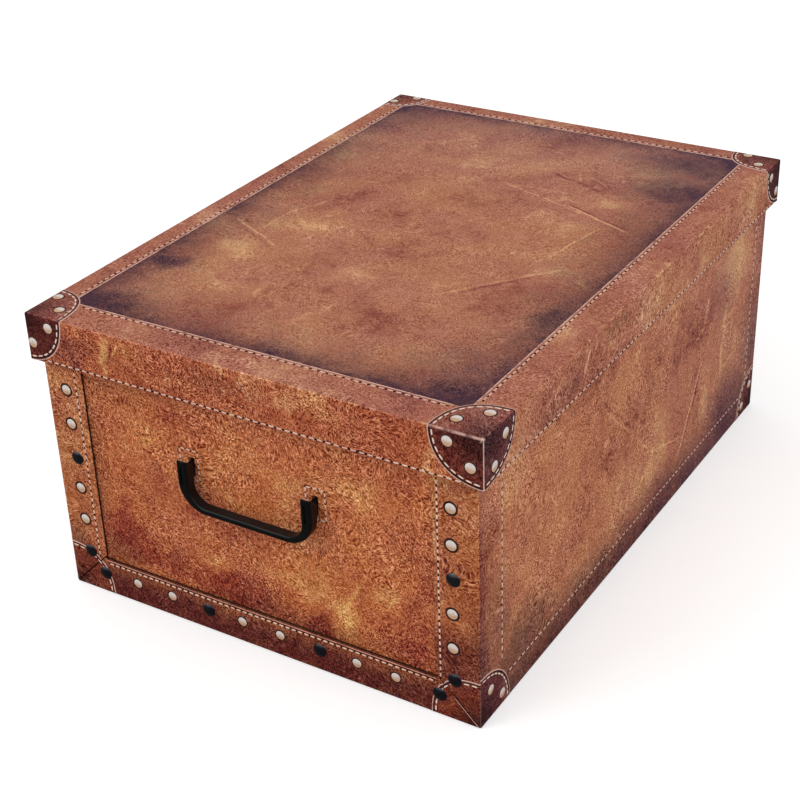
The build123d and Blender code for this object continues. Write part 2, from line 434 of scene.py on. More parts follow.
# %% The node group for printed hide
def hide_group():
    """The shared hide: in go the place in mm, four tones, burn, pale and grain; out come
    the colour and the height of the grain."""
    group = bpy.data.node_groups.new("printed_hide", "ShaderNodeTree")
    taken = {"Place": "Vector", "Tan": "Color", "Light": "Color", "Deep": "Color",
             "Char": "Color", "Burn": "Float", "Pale": "Float", "Grain": "Float"}
    for label, kind in taken.items():
        group.interface.new_socket(label, in_out="INPUT", socket_type=f"NodeSocket{kind}")
    for label, kind in {"Colour": "Color", "Height": "Float"}.items():
        group.interface.new_socket(label, in_out="OUTPUT", socket_type=f"NodeSocket{kind}")
    r = Recipe(group)
    given = group.nodes.new("NodeGroupInput").outputs
    colour, singe = hide_colour(r, given)
    grain, height = hide_grain(r, given["Place"])
    patchy = r.ease(r.noise(given["Place"], 38.0, 2.0), 0.35, 0.65, 0.8, 1.2)
    strength = r.times(given["Grain"], patchy)
    strength = r.times(strength, r.calc("MULTIPLY_ADD", singe, -0.2, 1.0))
    end = group.nodes.new("NodeGroupOutput").inputs
    group.links.new(ink(r, colour, grain, strength), end["Colour"])
    group.links.new(height, end["Height"])
    return group


PRINTED_HIDE = hide_group()
print("the hide group has", len(PRINTED_HIDE.nodes), "nodes")


# %% Words for painting on the hide
TONES = ("Tan", "Light", "Deep", "Char")


def leather(*tones, grain):
    """Four tones as they show on screen, and the strength of the grain."""
    return {label: tint(*tone) for label, tone in zip(TONES, tones)} | {"Grain": grain}


def between(r, share, first, second):
    """A leather that is the first one at share 0 and the second one at share 1."""
    tones = {label: r.mix(share, first[label], second[label]) for label in TONES}
    return tones | {"Grain": r.blend(share, first["Grain"], second["Grain"])}


def hide(r, place, tones, burn, pale):
    """Lays the shared hide at a place. Returns its colour and height."""
    inputs = tones | {"Place": place, "Burn": burn, "Pale": pale}
    colour = r.put("ShaderNodeGroup", inputs, "Colour", node_tree=PRINTED_HIDE)
    return colour, colour.node.outputs["Height"]


def facing(r):
    """How far a spot faces up, and how far it faces left or right, as two shares."""
    x, _, z = r.normal()
    return r.ease(z, 0.6, 0.8), r.ease(r.absolute(x), 0.6, 0.8)


# %% [markdown]
# ## Marks on the hide
#
# Noise alone looks even, and old leather isn't. So the larger marks are listed one by one,
# on top of the noise: soft round blots, which burn, deepen or pale the hide, and scars,
# which are straight lines. The place that they are drawn at is pushed about first, which
# makes a blot ragged and a line waver. Folds are painted pale wherever there are any:
# partly wear, and partly a painted highlight along the rounded fold.


# %% Blots, scars, and pale folds: wear and painted highlight
def blots(r, place, spots):
    """Soft round blots. Each is a centre, its three half-widths and its strength."""
    found = 0.0
    for centre, widths, strength in spots:
        from_centre = r.vector("SUBTRACT", place, centre)
        share = r.vector("LENGTH", r.vector("DIVIDE", from_centre, widths), out="Value")
        found = r.largest(found, r.ease(share, 0.1, 1.0, strength, 0.0))
    return found


def scars(r, place, lines):
    """Scratches. Each runs from one point to another, with a half-width and a strength,
    which is negative for a dark one. The share of the way along is kept between the
    ends, and the distance to that point is the line."""
    found = 0.0
    for start, end, width, strength in lines:
        way = np.subtract(end, start)
        step = tuple((way / (way @ way)).tolist())
        from_start = r.vector("SUBTRACT", place, start)
        share = r.vector("DOT_PRODUCT", from_start, step, out="Value")
        share = r.smallest(r.largest(share, 0.0), 1.0)
        nearest = r.vector("SCALE", tuple(way.tolist()), scale=share)
        gap = r.vector("LENGTH", r.vector("SUBTRACT", from_start, nearest), out="Value")
        ends = r.times(r.minus(1.0, share), share)
        line_share = r.times(r.ease(gap, 0.0, width, 1.0, 0.0), r.ease(ends, 0.0, 0.2, 0.3, 1.0))
        found = r.calc("MULTIPLY_ADD", line_share, strength, found)
    return found


def wall_gaps(r, place, walls):
    """How far a place is from the sides, from the ends, and from the top or the foot."""
    x, y, z = r.split(place)
    to_side = r.short_of(walls[1][0], x)
    to_end = r.short_of(walls[1][1], y)
    to_level = r.smallest(r.minus(walls[1][2], z), r.minus(z, walls[0][2]))
    return to_side, to_end, to_level


def fold_wear_and_highlight(r, place, walls):
    """Where a fold is painted pale, in patches: partly wear, and partly a painted highlight
    along the rounded fold. Near a fold two of the three gaps to the walls are small, so
    the middle one of the three tells how near it is."""
    to_side, to_end, to_level = wall_gaps(r, place, walls)
    low, high = r.smallest(to_side, to_end), r.largest(to_side, to_end)
    middle = r.largest(low, r.smallest(high, to_level))
    rubbed = r.ease(r.noise(place, 9.0, 4.0, 0.7), 0.45, 0.65)
    return r.times(r.ease(middle, 0.35, 1.5, 1.0, 0.0), rubbed)


# %% [markdown]
# ## Board that isn't printed
#
# Inside, and at every cut edge, the board is plain kraft. The flutes inside the board
# show through its liner as faint ribs, and a cut edge shows the flutes themselves. Its
# fibres are noise that is stretched four times along z.


# %% Kraft board
KRAFT = tint(150, 108, 72)
KRAFT_DARK = tint(112, 76, 48)
FLUTE = 3.4  # from one flute of the board to the next


def kraft(r, place):
    """Colour and height of the board's brown liner."""
    fibres = r.noise(r.vector("MULTIPLY", place, (1.0, 1.0, 0.25)), 1.4, 4.0, 0.7)
    clouds = r.noise(place, 55.0, 3.0)
    tone = r.sway(clouds, fibres, 0.9)
    colour = r.mix(r.ease(tone, 0.15, 0.75), KRAFT_DARK, KRAFT)
    x, y, _ = r.split(place)
    along = r.plus(x, y)
    ribs = r.calc("SINE", r.times(along, 2 * np.pi / FLUTE))
    height = r.calc("MULTIPLY_ADD", ribs, 0.25, fibres)
    return colour, height


def kraft_finish():
    """The inside of the lid."""
    material, r, shader = new_finish("kraft_board", 0.8)
    colour, height = kraft(r, r.place())
    wire(r, shader, colour, height=height, depth=0.06)
    return material


kraft_board = kraft_finish()
print("made", kraft_board.name)

# %% [markdown]
# ## The lid's print
#
# The lid carries a dark-edged panel on top, sewn into a plain border that runs over the
# folds and down the rims. Because the paper was laid a few millimetres off, the panel
# sits to the left and to the back. The edge of the panel is singed: the burn fades with
# the distance to the panel's edge, pushed about by noise, and has a few large blots.
# Panel and border could be two meshes, but the real ones are one sheet of paper, and so
# one finish asks of each spot which of the two it lies on.

# %% Where the print of the lid lies
SHIFT_X, SHIFT_Y = -3.2, 4.8  # how far the lid's paper was laid off the middle
PANEL_X, PANEL_Y = 160.5, 231.0  # half the size of the sewn-in top panel

TOP_HIDE = leather((175, 112, 84), (212, 160, 116), (138, 67, 53), (61, 22, 42), grain=0.5)
TOP_BACK_HIDE = leather((173, 115, 95), (208, 160, 126), (132, 69, 65), (64, 29, 53), grain=0.5)
# The border and the rims are one hide, lit differently: the end rims are warmer, the border on top
# and the side rims greyer and pinker. That difference is painted sheen.
BORDER_HIDE = leather((165, 99, 78), (206, 154, 118), (128, 62, 48), (76, 36, 38), grain=0.6)
END_RIM_HIDE = leather((166, 82, 41), (204, 146, 93), (116, 36, 20), (72, 19, 15), grain=1.1)
SIDE_RIM_HIDE = leather((178, 111, 83), (214, 164, 124), (130, 60, 46), (76, 38, 42), grain=0.85)


# %% Spots on a flat face
# A face is the axis that it looks along, and its level on that axis.
LID_TOP_FACE, LID_END, LID_SIDE = (2, LID_TOP), (1, -LID_Y), (0, LID_X)
TRAY_END, TRAY_SIDE = (1, -TRAY_Y), (0, TRAY_X)
ANY = 400.0  # a half-width that leaves an axis free


def at(face, a, b):
    """A point on a face, from its two other coordinates."""
    axis, level = face
    spot = [a, b]
    spot.insert(axis, level)
    return tuple(spot)


def blots_on(face, deep, rows):
    """Blots from rows of a, b, two half-widths and a strength. Deep is the half-width
    along the axis that the face looks along."""
    return [(at(face, a, b), at((face[0], deep), wide, high), strength)
            for a, b, wide, high, strength in rows]


def scars_on(face, rows):
    """Scars from rows of start a, b, end a, b, half-width and strength."""
    return [(at(face, *row[:2]), at(face, *row[2:4]), *row[4:]) for row in rows]


# %% Burns, deep tones, pale spots and scars of the lid
TOP_BURNS = blots_on(LID_TOP_FACE, ANY, [
    (-152, -140, 36, 28, 0.95), (-144, -218, 62, 46, 1.0), (130, 210, 104, 62, 0.8),
    (140, 152, 68, 56, 0.85), (146, -214, 64, 50, 0.95), (146, -196, 96, 84, 0.55),
    (156, -120, 50, 110, 0.5), (152, -92, 34, 60, 0.8), (158, 84, 20, 26, 0.7),
    (156, 30, 22, 60, 0.45), (-150, 212, 40, 66, 0.6), (-156, 60, 26, 120, 0.4),
])
TOP_DEEPS = blots_on(LID_TOP_FACE, ANY, [
    (-20, 130, 60, 40, 0.3), (20, -20, 70, 60, 0.3), (60, -150, 60, 40, 0.4),
    (-90, 60, 40, 60, 0.35),
])
TOP_PALES = blots_on(LID_TOP_FACE, ANY, [
    (98, 106, 36, 26, 1.1), (-112, -96, 34, 22, 0.8), (-12, -98, 26, 26, 0.7),
    (-33, 138, 30, 30, 0.5), (111, -32, 22, 26, 0.6), (-124, 32, 20, 22, 0.6),
    (108, -180, 26, 20, 0.4),
])
TOP_SCARS = scars_on(LID_TOP_FACE, [
    (4, 108, 42, 96, 1.4, 1.4), (36, 98, 98, 74, 1.4, 1.6), (66, 90, 136, 60, 2.2, 2.4),
    (64, 94, 130, 65, 1.8, -1.2), (111, 60, 101, 4, 1.5, 1.5), (102, 6, 93, -28, 1.3, 1.2),
    (-101, 16, -118, -24, 1.5, 1.5), (-118, -18, -119, -60, 1.3, 1.3),
    (-148, -50, -86, -82, 2.0, 2.0), (-146, -56, -96, -82, 1.8, -1.2),
    (121, -17, 96, -45, 3.0, 1.2), (98, -43, 51, -105, 2.6, 0.9),
    (112, -30, 70, -88, 2.6, -0.8), (30, 150, 54, 136, 1.4, 1.4),
    (48, 156, 62, 130, 1.4, 1.3), (60, 150, 86, 134, 1.4, 1.2),
    (26, 146, 80, 126, 4.0, -0.7),
])
RIM_SCARS = scars_on(LID_END, [
    (-110, 226, -118, 206, 2.2, 1.8), (-105, 224, -112, 204, 1.6, -1.2),
    (-100, 226, -106, 214, 1.6, 1.2),
]) + scars_on(LID_SIDE, [
    (-106, 226, -116, 206, 2.2, 1.8), (-96, 226, -104, 212, 1.6, 1.2),
    (-148, 222, -166, 206, 1.8, 1.0),
])
RIM_BURNS = blots_on(LID_END, 30, [
    (-120, 214, 60, 12, 0.2), (-15, 216, 60, 14, 0.25),
]) + blots_on(LID_SIDE, 30, [
    (-150, 206, 60, 16, 0.25), (-60, 220, 50, 12, 0.2),
])
RIM_DEEPS = blots_on(LID_SIDE, 30, [
    (-150, 212, 70, 40, 0.35),
]) + blots_on(LID_END, 30, [
    (-148, 204, 22, 24, 0.8), (40, 204, 90, 14, 0.5),
])
RIM_PALES = blots_on(LID_END, 20, [
    (-114, 212, 8, 22, 1.1), (-60, 204, 14, 10, 0.5), (40, 216, 16, 10, 0.6),
    (90, 206, 20, 10, 0.5),
]) + blots_on(LID_SIDE, 20, [
    (-112, 214, 6, 18, 0.8), (-168, 208, 9, 12, 0.7), (-34, 208, 26, 12, 0.5),
    (180, 214, 70, 34, 0.5),
])

lid_blots = TOP_BURNS + TOP_DEEPS + TOP_PALES + RIM_BURNS + RIM_DEEPS + RIM_PALES
print("the lid has", len(lid_blots), "blots and", len(TOP_SCARS + RIM_SCARS), "scars")


# %% The lid's printed finish
SINGE = 0.84  # burn at the very edge of the top panel
SINGE_SIDE, SINGE_BACK, SINGE_FRONT = 24.0, 17.0, 20.0  # reach from each edge
WAVER = (14.0, 4.8)  # size and reach of the push that makes scars waver


def panel_singe(r, rough):
    """Three burns, at the sides, the back and the front of the top panel. Each is
    exp(-gap / reach), where gap is the distance to that edge, ragged by noise."""
    x, y, _ = r.split(r.vector("SUBTRACT", rough, (SHIFT_X, SHIFT_Y, 0)))
    gaps = [
        (r.short_of(PANEL_X, x), SINGE_SIDE),
        (r.minus(PANEL_Y, y), SINGE_BACK),
        (r.plus(PANEL_Y, y), SINGE_FRONT),
    ]
    total = 0.0
    for gap, reach in gaps:
        total = r.calc("MULTIPLY_ADD", r.fade(r.largest(gap, 0.0), reach), SINGE, total)
    return total


def top_pale(r, rough, wavy):
    """Pale blots and scars of the top panel, less its deeper spots."""
    pale = r.plus(blots(r, rough, TOP_PALES), scars(r, wavy, TOP_SCARS))
    return r.minus(pale, blots(r, rough, TOP_DEEPS))


def rim_pale(r, place, rough, wavy):
    """Pale blots, pale folds (wear and painted highlight) and scars round the top panel,
    less their deeper spots.
    """
    pale = blots(r, r.push(place, 14.0, 10.0), RIM_PALES)
    pale = r.largest(pale, r.times(fold_wear_and_highlight(r, place, lid_walls), 0.9))
    pale = r.plus(pale, scars(r, wavy, RIM_SCARS))
    return r.minus(pale, blots(r, rough, RIM_DEEPS))


def lid_print_finish():
    """One hide on every face. Its tones, burn and pale are chosen by where a spot faces and
    whether it lies on the top panel. The tones that change with the way a face points are
    painted sheen: warmer on the end rims, greyer and pinker on the border and the side rims."""
    material, r, shader = new_finish("lid_print", 0.5)
    place = r.place()
    rough = r.push(place, 40.0, 32.0)
    up, sideways = facing(r)
    x, y, _ = r.split(r.vector("SUBTRACT", place, (SHIFT_X, SHIFT_Y, 0)))
    inside = r.smallest(r.short_of(PANEL_X, x), r.short_of(PANEL_Y, y))
    on_panel = r.times(r.ease(inside, -0.1, 0.1), up)
    # painted sheen: the rims' and the border's tones change with the way a face points
    tones = between(r, sideways, END_RIM_HIDE, SIDE_RIM_HIDE)
    tones = between(r, up, tones, BORDER_HIDE)
    top_tones = between(r, r.ease(y, 30.0, 220.0), TOP_HIDE, TOP_BACK_HIDE)
    tones = between(r, on_panel, tones, top_tones)

    burn = r.largest(panel_singe(r, rough), blots(r, rough, TOP_BURNS))
    burn = r.blend(on_panel, blots(r, rough, RIM_BURNS), burn)
    wavy = r.push(place, *WAVER)
    pale = r.blend(on_panel, rim_pale(r, place, rough, wavy), top_pale(r, rough, wavy))
    colour, height = hide(r, place, tones, burn, pale)
    wire(r, shader, colour, height=height)
    return material


lid_print = lid_print_finish()
print("made", lid_print.name, "with", len(lid_print.node_tree.nodes), "nodes")

# %% [markdown]
# ## The lid
#
# The CAD lid has the right size but a dead flat top. Here the lid is one skin again: a
# profile that starts in the middle of the top, goes over the fold, down the rim, round
# the rolled edge and back up inside to the underside. The profile is carried round a
# rectangle. A point of the profile is an inset, measured inwards from the lid's sides,
# and a height. The top sags by half a millimetre, but not near its edges, where it
# rests on the tray.

# %% Lines, arcs and loops
SIDE_STEPS = (30, 42)  # steps along a short side and along a long one
CORNER_STEPS = 5
ARC_STEPS = 6


def line(start, end, count=2):
    """Points in a straight line."""
    share = np.linspace(0, 1, count)[:, None]
    return np.asarray(start, float) * (1 - share) + np.asarray(end, float) * share


def arc(centre_inset, centre_z, radius, start, end):
    """Profile points on an arc; angle 0 points outwards and 90 degrees points up."""
    angle = np.radians(np.linspace(start, end, ARC_STEPS + 1))
    return np.stack([centre_inset - radius * np.cos(angle), centre_z + radius * np.sin(angle)], -1)


def rounded_loop(half_x, half_y, radius):
    """Points round a rectangle with round corners. Each corner is a quarter circle and
    each side a straight run, with the same number of points however small it is."""
    turn = np.linspace(0, np.pi / 2, CORNER_STEPS + 1)
    corners = []
    for quarter, (x_sign, y_sign) in enumerate([(1, 1), (-1, 1), (-1, -1), (1, -1)]):
        middle = (x_sign * (half_x - radius), y_sign * (half_y - radius))
        angle = turn + quarter * np.pi / 2
        corners.append(middle + radius * np.stack([np.cos(angle), np.sin(angle)], -1))
    points = []
    for quarter, corner in enumerate(corners):
        next_corner = corners[(quarter + 1) % 4]
        side = line(corner[-1], next_corner[0], SIDE_STEPS[quarter % 2] + 1)
        points += [corner, side[1:-1]]
    return np.concatenate(points)


# %% The profile of the lid
SAG = 0.5
SAG_START, SAG_END = 14.0, 95.0  # insets between which the top goes down
TOP_ROWS, RIM_ROWS, LEAF_ROWS = 17, 7, 6


def sag(inset):
    """Goes smoothly from 0 to SAG, as 3 t**2 - 2 t**3, while t goes from 0 to 1."""
    share = np.clip((inset - SAG_START) / (SAG_END - SAG_START), 0, 1)
    return SAG * share * share * (3 - 2 * share)


def lid_profile():
    """The lid's section as (inset, height), and how many of its rows are printed."""
    inner = LEAF - SET_BACK
    rolled = LID_FOOT + ROLL
    printed = np.concatenate([
        line((LID_X, LID_TOP), (FOLD, LID_TOP), TOP_ROWS)[:-1],
        arc(FOLD, LID_TOP - FOLD, FOLD, 90, 0),
        line((0, LID_TOP - FOLD), (0, rolled), RIM_ROWS)[1:-1],
        arc(ROLL, rolled, ROLL, 0, -90),
        arc(inner - ROLL, rolled, ROLL, -90, -180),
        line((inner, rolled), (inner, TRAY_TOP), LEAF_ROWS)[1:],
    ])
    underside = line((inner, TRAY_TOP), (LID_X, TRAY_TOP), TOP_ROWS)[1:]
    return np.concatenate([printed, underside]), len(printed) - 1


print("the lid's profile has", len(lid_profile()[0]), "points")


# %% The lid's skin
def stack_loops(loops, heights):
    """Points of closed loops, in rows, and the faces between one loop and the next."""
    flat = np.stack(loops)
    heights = np.broadcast_to(heights, flat.shape[:2])
    points = np.concatenate([flat, heights[..., None]], -1)
    return points.reshape(-1, 3), grid_faces(*heights.shape, around=True)


def make_lid_shell():
    """Each profile point becomes a loop: the lid's sides moved in by the inset, at that
    height, with the corner radius left over from the fold."""
    profile, printed = lid_profile()
    inset, height = profile.T
    loops = [rounded_loop(LID_X - step, LID_Y - step, max(FOLD - step, 0.0)) for step in inset]
    sunk = height - sag(inset) * (height > LID_TOP - LEAF)
    points, faces = stack_loops(loops, sunk[:, None])
    bare = (np.arange(len(faces)) // len(loops[0]) >= printed).astype(int)
    shell = make_piece("lid_shell", points, faces, [lid_print, kraft_board], "lid", bare)
    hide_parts("lid")


make_lid_shell()

# %% [markdown]
# ## The tray's print
#
# The tray and its end panels keep their CAD meshes, which already are folded board with
# cut windows and slits. Their finish has to know what is printed: only what lies on the
# outside of the rounded box is. The distance from the box one fold radius inside tells
# that, in the same way as the hug does.

# %% Where the print of the tray lies
SILL_LINE = 29.8  # height of the pale line along the turned edge of the low flap
# An end and a side are one hide, lit differently: the ends' flaps warmer and more orange, the
# sides greyer and pinker. That difference is painted sheen.
SIDE_HIDE = leather((188, 118, 83), (216, 162, 112), (136, 62, 44), (88, 42, 44), grain=0.85)
SIDE_FAR_HIDE = leather((185, 119, 94), (212, 160, 120), (134, 66, 58), (92, 52, 66), grain=0.75)
FLAP_HIDE = leather((168, 92, 48), (204, 148, 94), (114, 34, 18), (88, 12, 11), grain=0.95)

# The blots and scars are given for the front end and the right side. The rear and the
# left are the same artwork turned round, so their places are turned before they are used.
WALL_BURNS = blots_on(TRAY_SIDE, 30, [
    (246, 60, 56, 110, 0.66), (186, 14, 96, 74, 0.86), (70, 2, 130, 40, 0.8),
    (-120, 4, 150, 36, 0.8), (-190, 26, 90, 54, 0.75), (-226, 60, 40, 90, 0.45),
    (160, 150, 60, 40, 0.25),
]) + blots_on(TRAY_END, 30, [
    (-172, 20, 24, 60, 0.6), (176, 40, 20, 90, 0.7), (158, 42, 34, 52, 0.8),
    (166, 196, 30, 26, 0.3),
])
WALL_PALES = blots_on(TRAY_SIDE, 30, [
    (130, 64, 16, 34, 1.0), (168, 110, 8, 44, 0.8), (124, 150, 7, 26, 0.6),
    (-20, 60, 46, 30, 0.6), (-150, 120, 50, 40, 0.4), (-180, 76, 36, 26, 0.5),
    (-190, 172, 64, 34, 0.5), (190, 170, 80, 44, 0.9),
]) + blots_on(TRAY_END, 30, [
    (-160, 150, 26, 60, 0.4), (144, 130, 5, 160, 0.9),
])
WALL_SCARS = scars_on(TRAY_SIDE, [
    (76, 30, 121, 106, 2.0, 2.4), (81, 30, 125, 104, 1.8, -0.9),
    (118, 130, 128, 157, 3.0, 1.3), (172, 134, 162, 114, 2.6, 1.3),
    (163, 102, 165, 66, 3.2, 1.4), (5, 77, 92, 50, 1.8, 1.4), (-6, 98, 18, 76, 1.8, 1.1),
    (-42, 62, -14, 32, 1.8, 1.1), (-72, 158, -18, 110, 1.8, 0.8),
    (-66, 158, -12, 110, 2.2, -0.6), (-242, 88, -212, 78, 2.0, 1.0),
    (-152, 132, -134, 110, 1.6, 0.9),
])
PANEL_HIDE = leather((182, 100, 52), (212, 154, 90), (138, 45, 17), (84, 19, 9), grain=1.1)
PANEL_BURNS = blots_on(TRAY_END, 60, [
    (-132, 40, 50, 30, 0.4), (30, 30, 110, 26, 0.5), (-146, 120, 22, 100, 0.4),
    (-120, 186, 60, 30, 0.22), (120, 22, 50, 24, 0.45),
])
PANEL_DEEPS = blots_on(TRAY_END, 60, [
    (-100, 50, 80, 44, 0.5), (-10, 42, 80, 34, 1.5), (46, 38, 30, 24, 1.7),
    (120, 38, 46, 22, 0.7), (-40, 100, 60, 30, 0.3), (20, 196, 80, 16, 0.3),
])
PANEL_PALES = blots_on(TRAY_END, 60, [
    (106, 81, 20, 18, 1.0), (106, 112, 40, 34, 0.7), (100, 160, 50, 34, 0.6),
    (-33, 61, 26, 13, 0.9), (-106, 81, 20, 14, 0.8), (70, 50, 18, 28, 1.0),
    (-60, 150, 50, 20, 0.3),
])
PANEL_SCARS = scars_on(TRAY_END, [
    (92, 101, 74, 66, 3.6, 1.5), (78, 76, 56, 31, 3.0, 2.2), (72, 74, 50, 30, 2.0, -1.8),
    (-77, 104, -33, 81, 1.6, 1.2), (-49, 86, -11, 58, 2.0, 1.5),
    (-14, 91, 17, 66, 1.8, 1.4), (-52, 80, -16, 55, 2.4, -1.0),
    (-120, 77, -84, 61, 1.6, 1.0), (60, 170, 120, 184, 2.6, 0.7),
])

tray_blots = WALL_BURNS + WALL_PALES + PANEL_BURNS + PANEL_DEEPS + PANEL_PALES
print("the tray has", len(tray_blots), "blots and", len(WALL_SCARS + PANEL_SCARS), "scars")


# %% Where a spot lies on the tray
PAPER = 0.25  # what is less deep than this counts as printed
JUST_UNDER = 0.05


def turned_place(r, place):
    """Turns the rear half, or the left half, of the artwork onto the other one. The
    sign of y counts at the ends and the sign of x along the sides."""
    x, y, z = r.split(place)
    at_end = r.calc("LESS_THAN", r.short_of(TRAY_Y, y), r.short_of(TRAY_X, x))
    end_sign = r.minus(0.0, r.calc("SIGN", y))
    sign = r.blend(at_end, r.calc("SIGN", x), end_sign)
    return r.join(r.times(x, sign), r.times(y, sign), z)


def outside_share(r, place):
    """1 on the outside of the tray's board and 0 on its inside and its cut edges."""
    x, y, z = r.split(place)
    over_x = r.largest(r.minus(r.absolute(x), TRAY_X - FOLD), 0.0)
    over_y = r.largest(r.minus(r.absolute(y), TRAY_Y - FOLD), 0.0)
    over_z = r.largest(r.minus(FOLD, z), 0.0)
    over = r.vector("LENGTH", r.join(over_x, over_y, over_z), out="Value")
    return r.calc("GREATER_THAN", over, FOLD - PAPER)


# %% The board's cut edges
FLUTE_SHADOW, SLIT_SHADOW = (70, 44, 28), (40, 18, 12)


def cut_edge(r, place, along, depth):
    """A cut edge of the board: two liners, and a wave of paper between them."""
    wave = r.calc("SINE", r.times(along, 2 * np.pi / FLUTE))
    middle = r.calc("MULTIPLY_ADD", wave, BOARD * 0.32, BOARD / 2)
    off_middle = r.absolute(r.minus(depth, BOARD / 2))
    paper = r.largest(r.band(depth, middle, 0.12, 0.25), r.ease(off_middle, 0.55, 0.68))
    colour, _ = kraft(r, place)
    return r.mix(paper, tint(*FLUTE_SHADOW), colour)


def bare_board(r, place):
    """Kraft inside, flutes on the cut top edge, and shadow on the edges of the slits."""
    x, y, z = r.split(place)
    to_side, to_end = r.short_of(TRAY_X, x), r.short_of(TRAY_Y, y)
    at_end = r.calc("LESS_THAN", to_end, to_side)
    at_top = r.calc("GREATER_THAN", z, TRAY_TOP - JUST_UNDER)
    on_flap = r.calc("LESS_THAN", to_end, BOARD - JUST_UNDER)
    edge = cut_edge(r, place, r.blend(at_end, y, x), r.smallest(to_side, to_end))
    plain, _ = kraft(r, place)
    return r.mix(at_top, r.mix(on_flap, plain, tint(*SLIT_SHADOW)), edge)


# %% The tray's printed finish
FOOT_ROUGH = (30.0, 14.0)  # size and reach of the push that makes the foot's burn ragged
UPRIGHT_REACH = 14.0  # the singe along an upright edge fades over this length
UPRIGHT_SINGE = (0.2, 0.52)  # its strength at the near end of a side and at the far end
UPRIGHT_DEEP = (1.1, 0.0)  # how far it deepens the tone at either end
SILL_SHADOW, SILL_PALE = (52, 16, 12), (222, 150, 132)
POST_EDGE = 142.0  # from the middle to the edge of an upright flap


def wall_wear(r, place, turned, sideways, far):
    """Burn and pale of the tray. The foot is singed all round, and on the long sides the
    upright edges are too."""
    rough = r.push(turned, 34.0, 26.0)
    low = r.split(r.push(place, *FOOT_ROUGH))[2]
    foot = r.blend(sideways, r.ease(low, 8.0, 48.0, 0.92, 0.0), r.ease(low, 4.0, 56.0, 0.86, 0.0))
    to_end = r.short_of(TRAY_Y, r.split(place)[1])
    upright = r.times(r.fade(to_end, UPRIGHT_REACH), sideways)
    singed = r.times(upright, r.blend(far, *UPRIGHT_SINGE))
    burn = r.largest(foot, blots(r, rough, WALL_BURNS), singed)
    # folds painted pale: partly wear, and partly a painted highlight along the rounded fold
    worn_and_lit = r.times(fold_wear_and_highlight(r, place, tray_walls), 0.8)
    pale = r.largest(blots(r, rough, WALL_PALES), worn_and_lit)
    pale = r.plus(pale, scars(r, r.push(turned, *WAVER), WALL_SCARS))
    return burn, r.minus(pale, r.times(upright, r.blend(far, *UPRIGHT_DEEP)))


def sill_edge(r, place, printed, sideways):
    """The turned edge of the low flap, between the upright ones: a pale, rubbed line with
    a dark one below it, and shadow above it."""
    x, _, z = r.split(place)
    between_posts = r.times(r.ease(r.absolute(x), POST_EDGE, POST_EDGE + 1.0, 1.0, 0.0),
                            r.minus(1.0, sideways))
    darkened = r.band(z, SILL_LINE - 1.1, 0.35, 0.8, 0.95)
    # painted shadow above the turned edge of the low flap
    darkened = r.largest(darkened, r.ease(z, SILL_LINE + 0.4, SILL_LINE + 0.8, 0.0, 0.65))
    printed = r.mix(r.times(darkened, between_posts), printed, tint(*SILL_SHADOW))
    rubbed = r.ease(r.noise(place, 16.0, 3.0, 0.6), 0.35, 0.6, 0.35, 1.0)
    pale_line = r.times(r.times(r.band(z, SILL_LINE, 0.3, 0.6), rubbed), between_posts)
    return r.mix(pale_line, printed, tint(*SILL_PALE))


def tray_print_finish():
    """Printed outside, and bare board inside and at the cut edges. Along a side the
    leather goes from one tone to another. Ends and sides take different tones, which is
    painted sheen."""
    material, r, shader = new_finish("tray_print", 0.5)
    place = r.place()
    turned = turned_place(r, place)
    _, sideways = facing(r)
    far = r.ease(r.split(turned)[1], -140.0, 220.0)
    burn, pale = wall_wear(r, place, turned, sideways, far)
    # painted sheen: the ends take warmer tones than the sides
    tones = between(r, sideways, FLAP_HIDE, between(r, far, SIDE_HIDE, SIDE_FAR_HIDE))
    printed, height = hide(r, place, tones, burn, pale)
    printed = sill_edge(r, place, printed, sideways)
    wire(r, shader, r.mix(outside_share(r, place), bare_board(r, place), printed), height=height)
    return material


# %% The end panels' printed finish
# painted shade: the strip under the flaps is dark, so the slits look shaded
UNDER_FLAP_SHADE = (20, 9, 7)  # the strip of an end panel that its flaps cover
COVERED_X, COVERED_Z = 142.5, 28.0  # the strip lies outside of, and below


def panel_print_finish():
    """Printed like the flaps, and painted dark where they cover it, as shade in the slits
    between flap and panel.
    """
    material, r, shader = new_finish("panel_print", 0.5)
    place = r.place()
    turned = turned_place(r, place)
    rough = r.push(turned, 34.0, 24.0)
    pale = r.plus(blots(r, rough, PANEL_PALES), scars(r, r.push(turned, *WAVER), PANEL_SCARS))
    pale = r.minus(pale, blots(r, rough, PANEL_DEEPS))
    colour, height = hide(r, place, PANEL_HIDE, blots(r, rough, PANEL_BURNS), pale)
    x, y, z = r.split(place)
    # painted shade where the flaps cover the panel
    shade_under_flap = r.largest(r.ease(r.absolute(x), COVERED_X, COVERED_X + 1.0),
                        r.ease(z, COVERED_Z - 1.0, COVERED_Z, 1.0, 0.0))
    outer = r.calc("GREATER_THAN", r.absolute(y), TRAY_Y - 1.5 * BOARD)
    colour = r.mix(r.times(shade_under_flap, outer), colour, tint(*UNDER_FLAP_SHADE))
    wire(r, shader, colour, height=height)
    return material


# %% Dress the tray and the end panels
def dress(node, finish):
    """Gives a CAD node a finish in place of the one it came with."""
    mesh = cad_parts[node].data
    mesh.materials.clear()
    mesh.materials.append(finish)


tray_print = tray_print_finish()
panel_print = panel_print_finish()
dress("tray", tray_print)
for node in ("front_panel", "rear_panel"):
    dress(node, panel_print)
print("dressed the tray and both end panels")

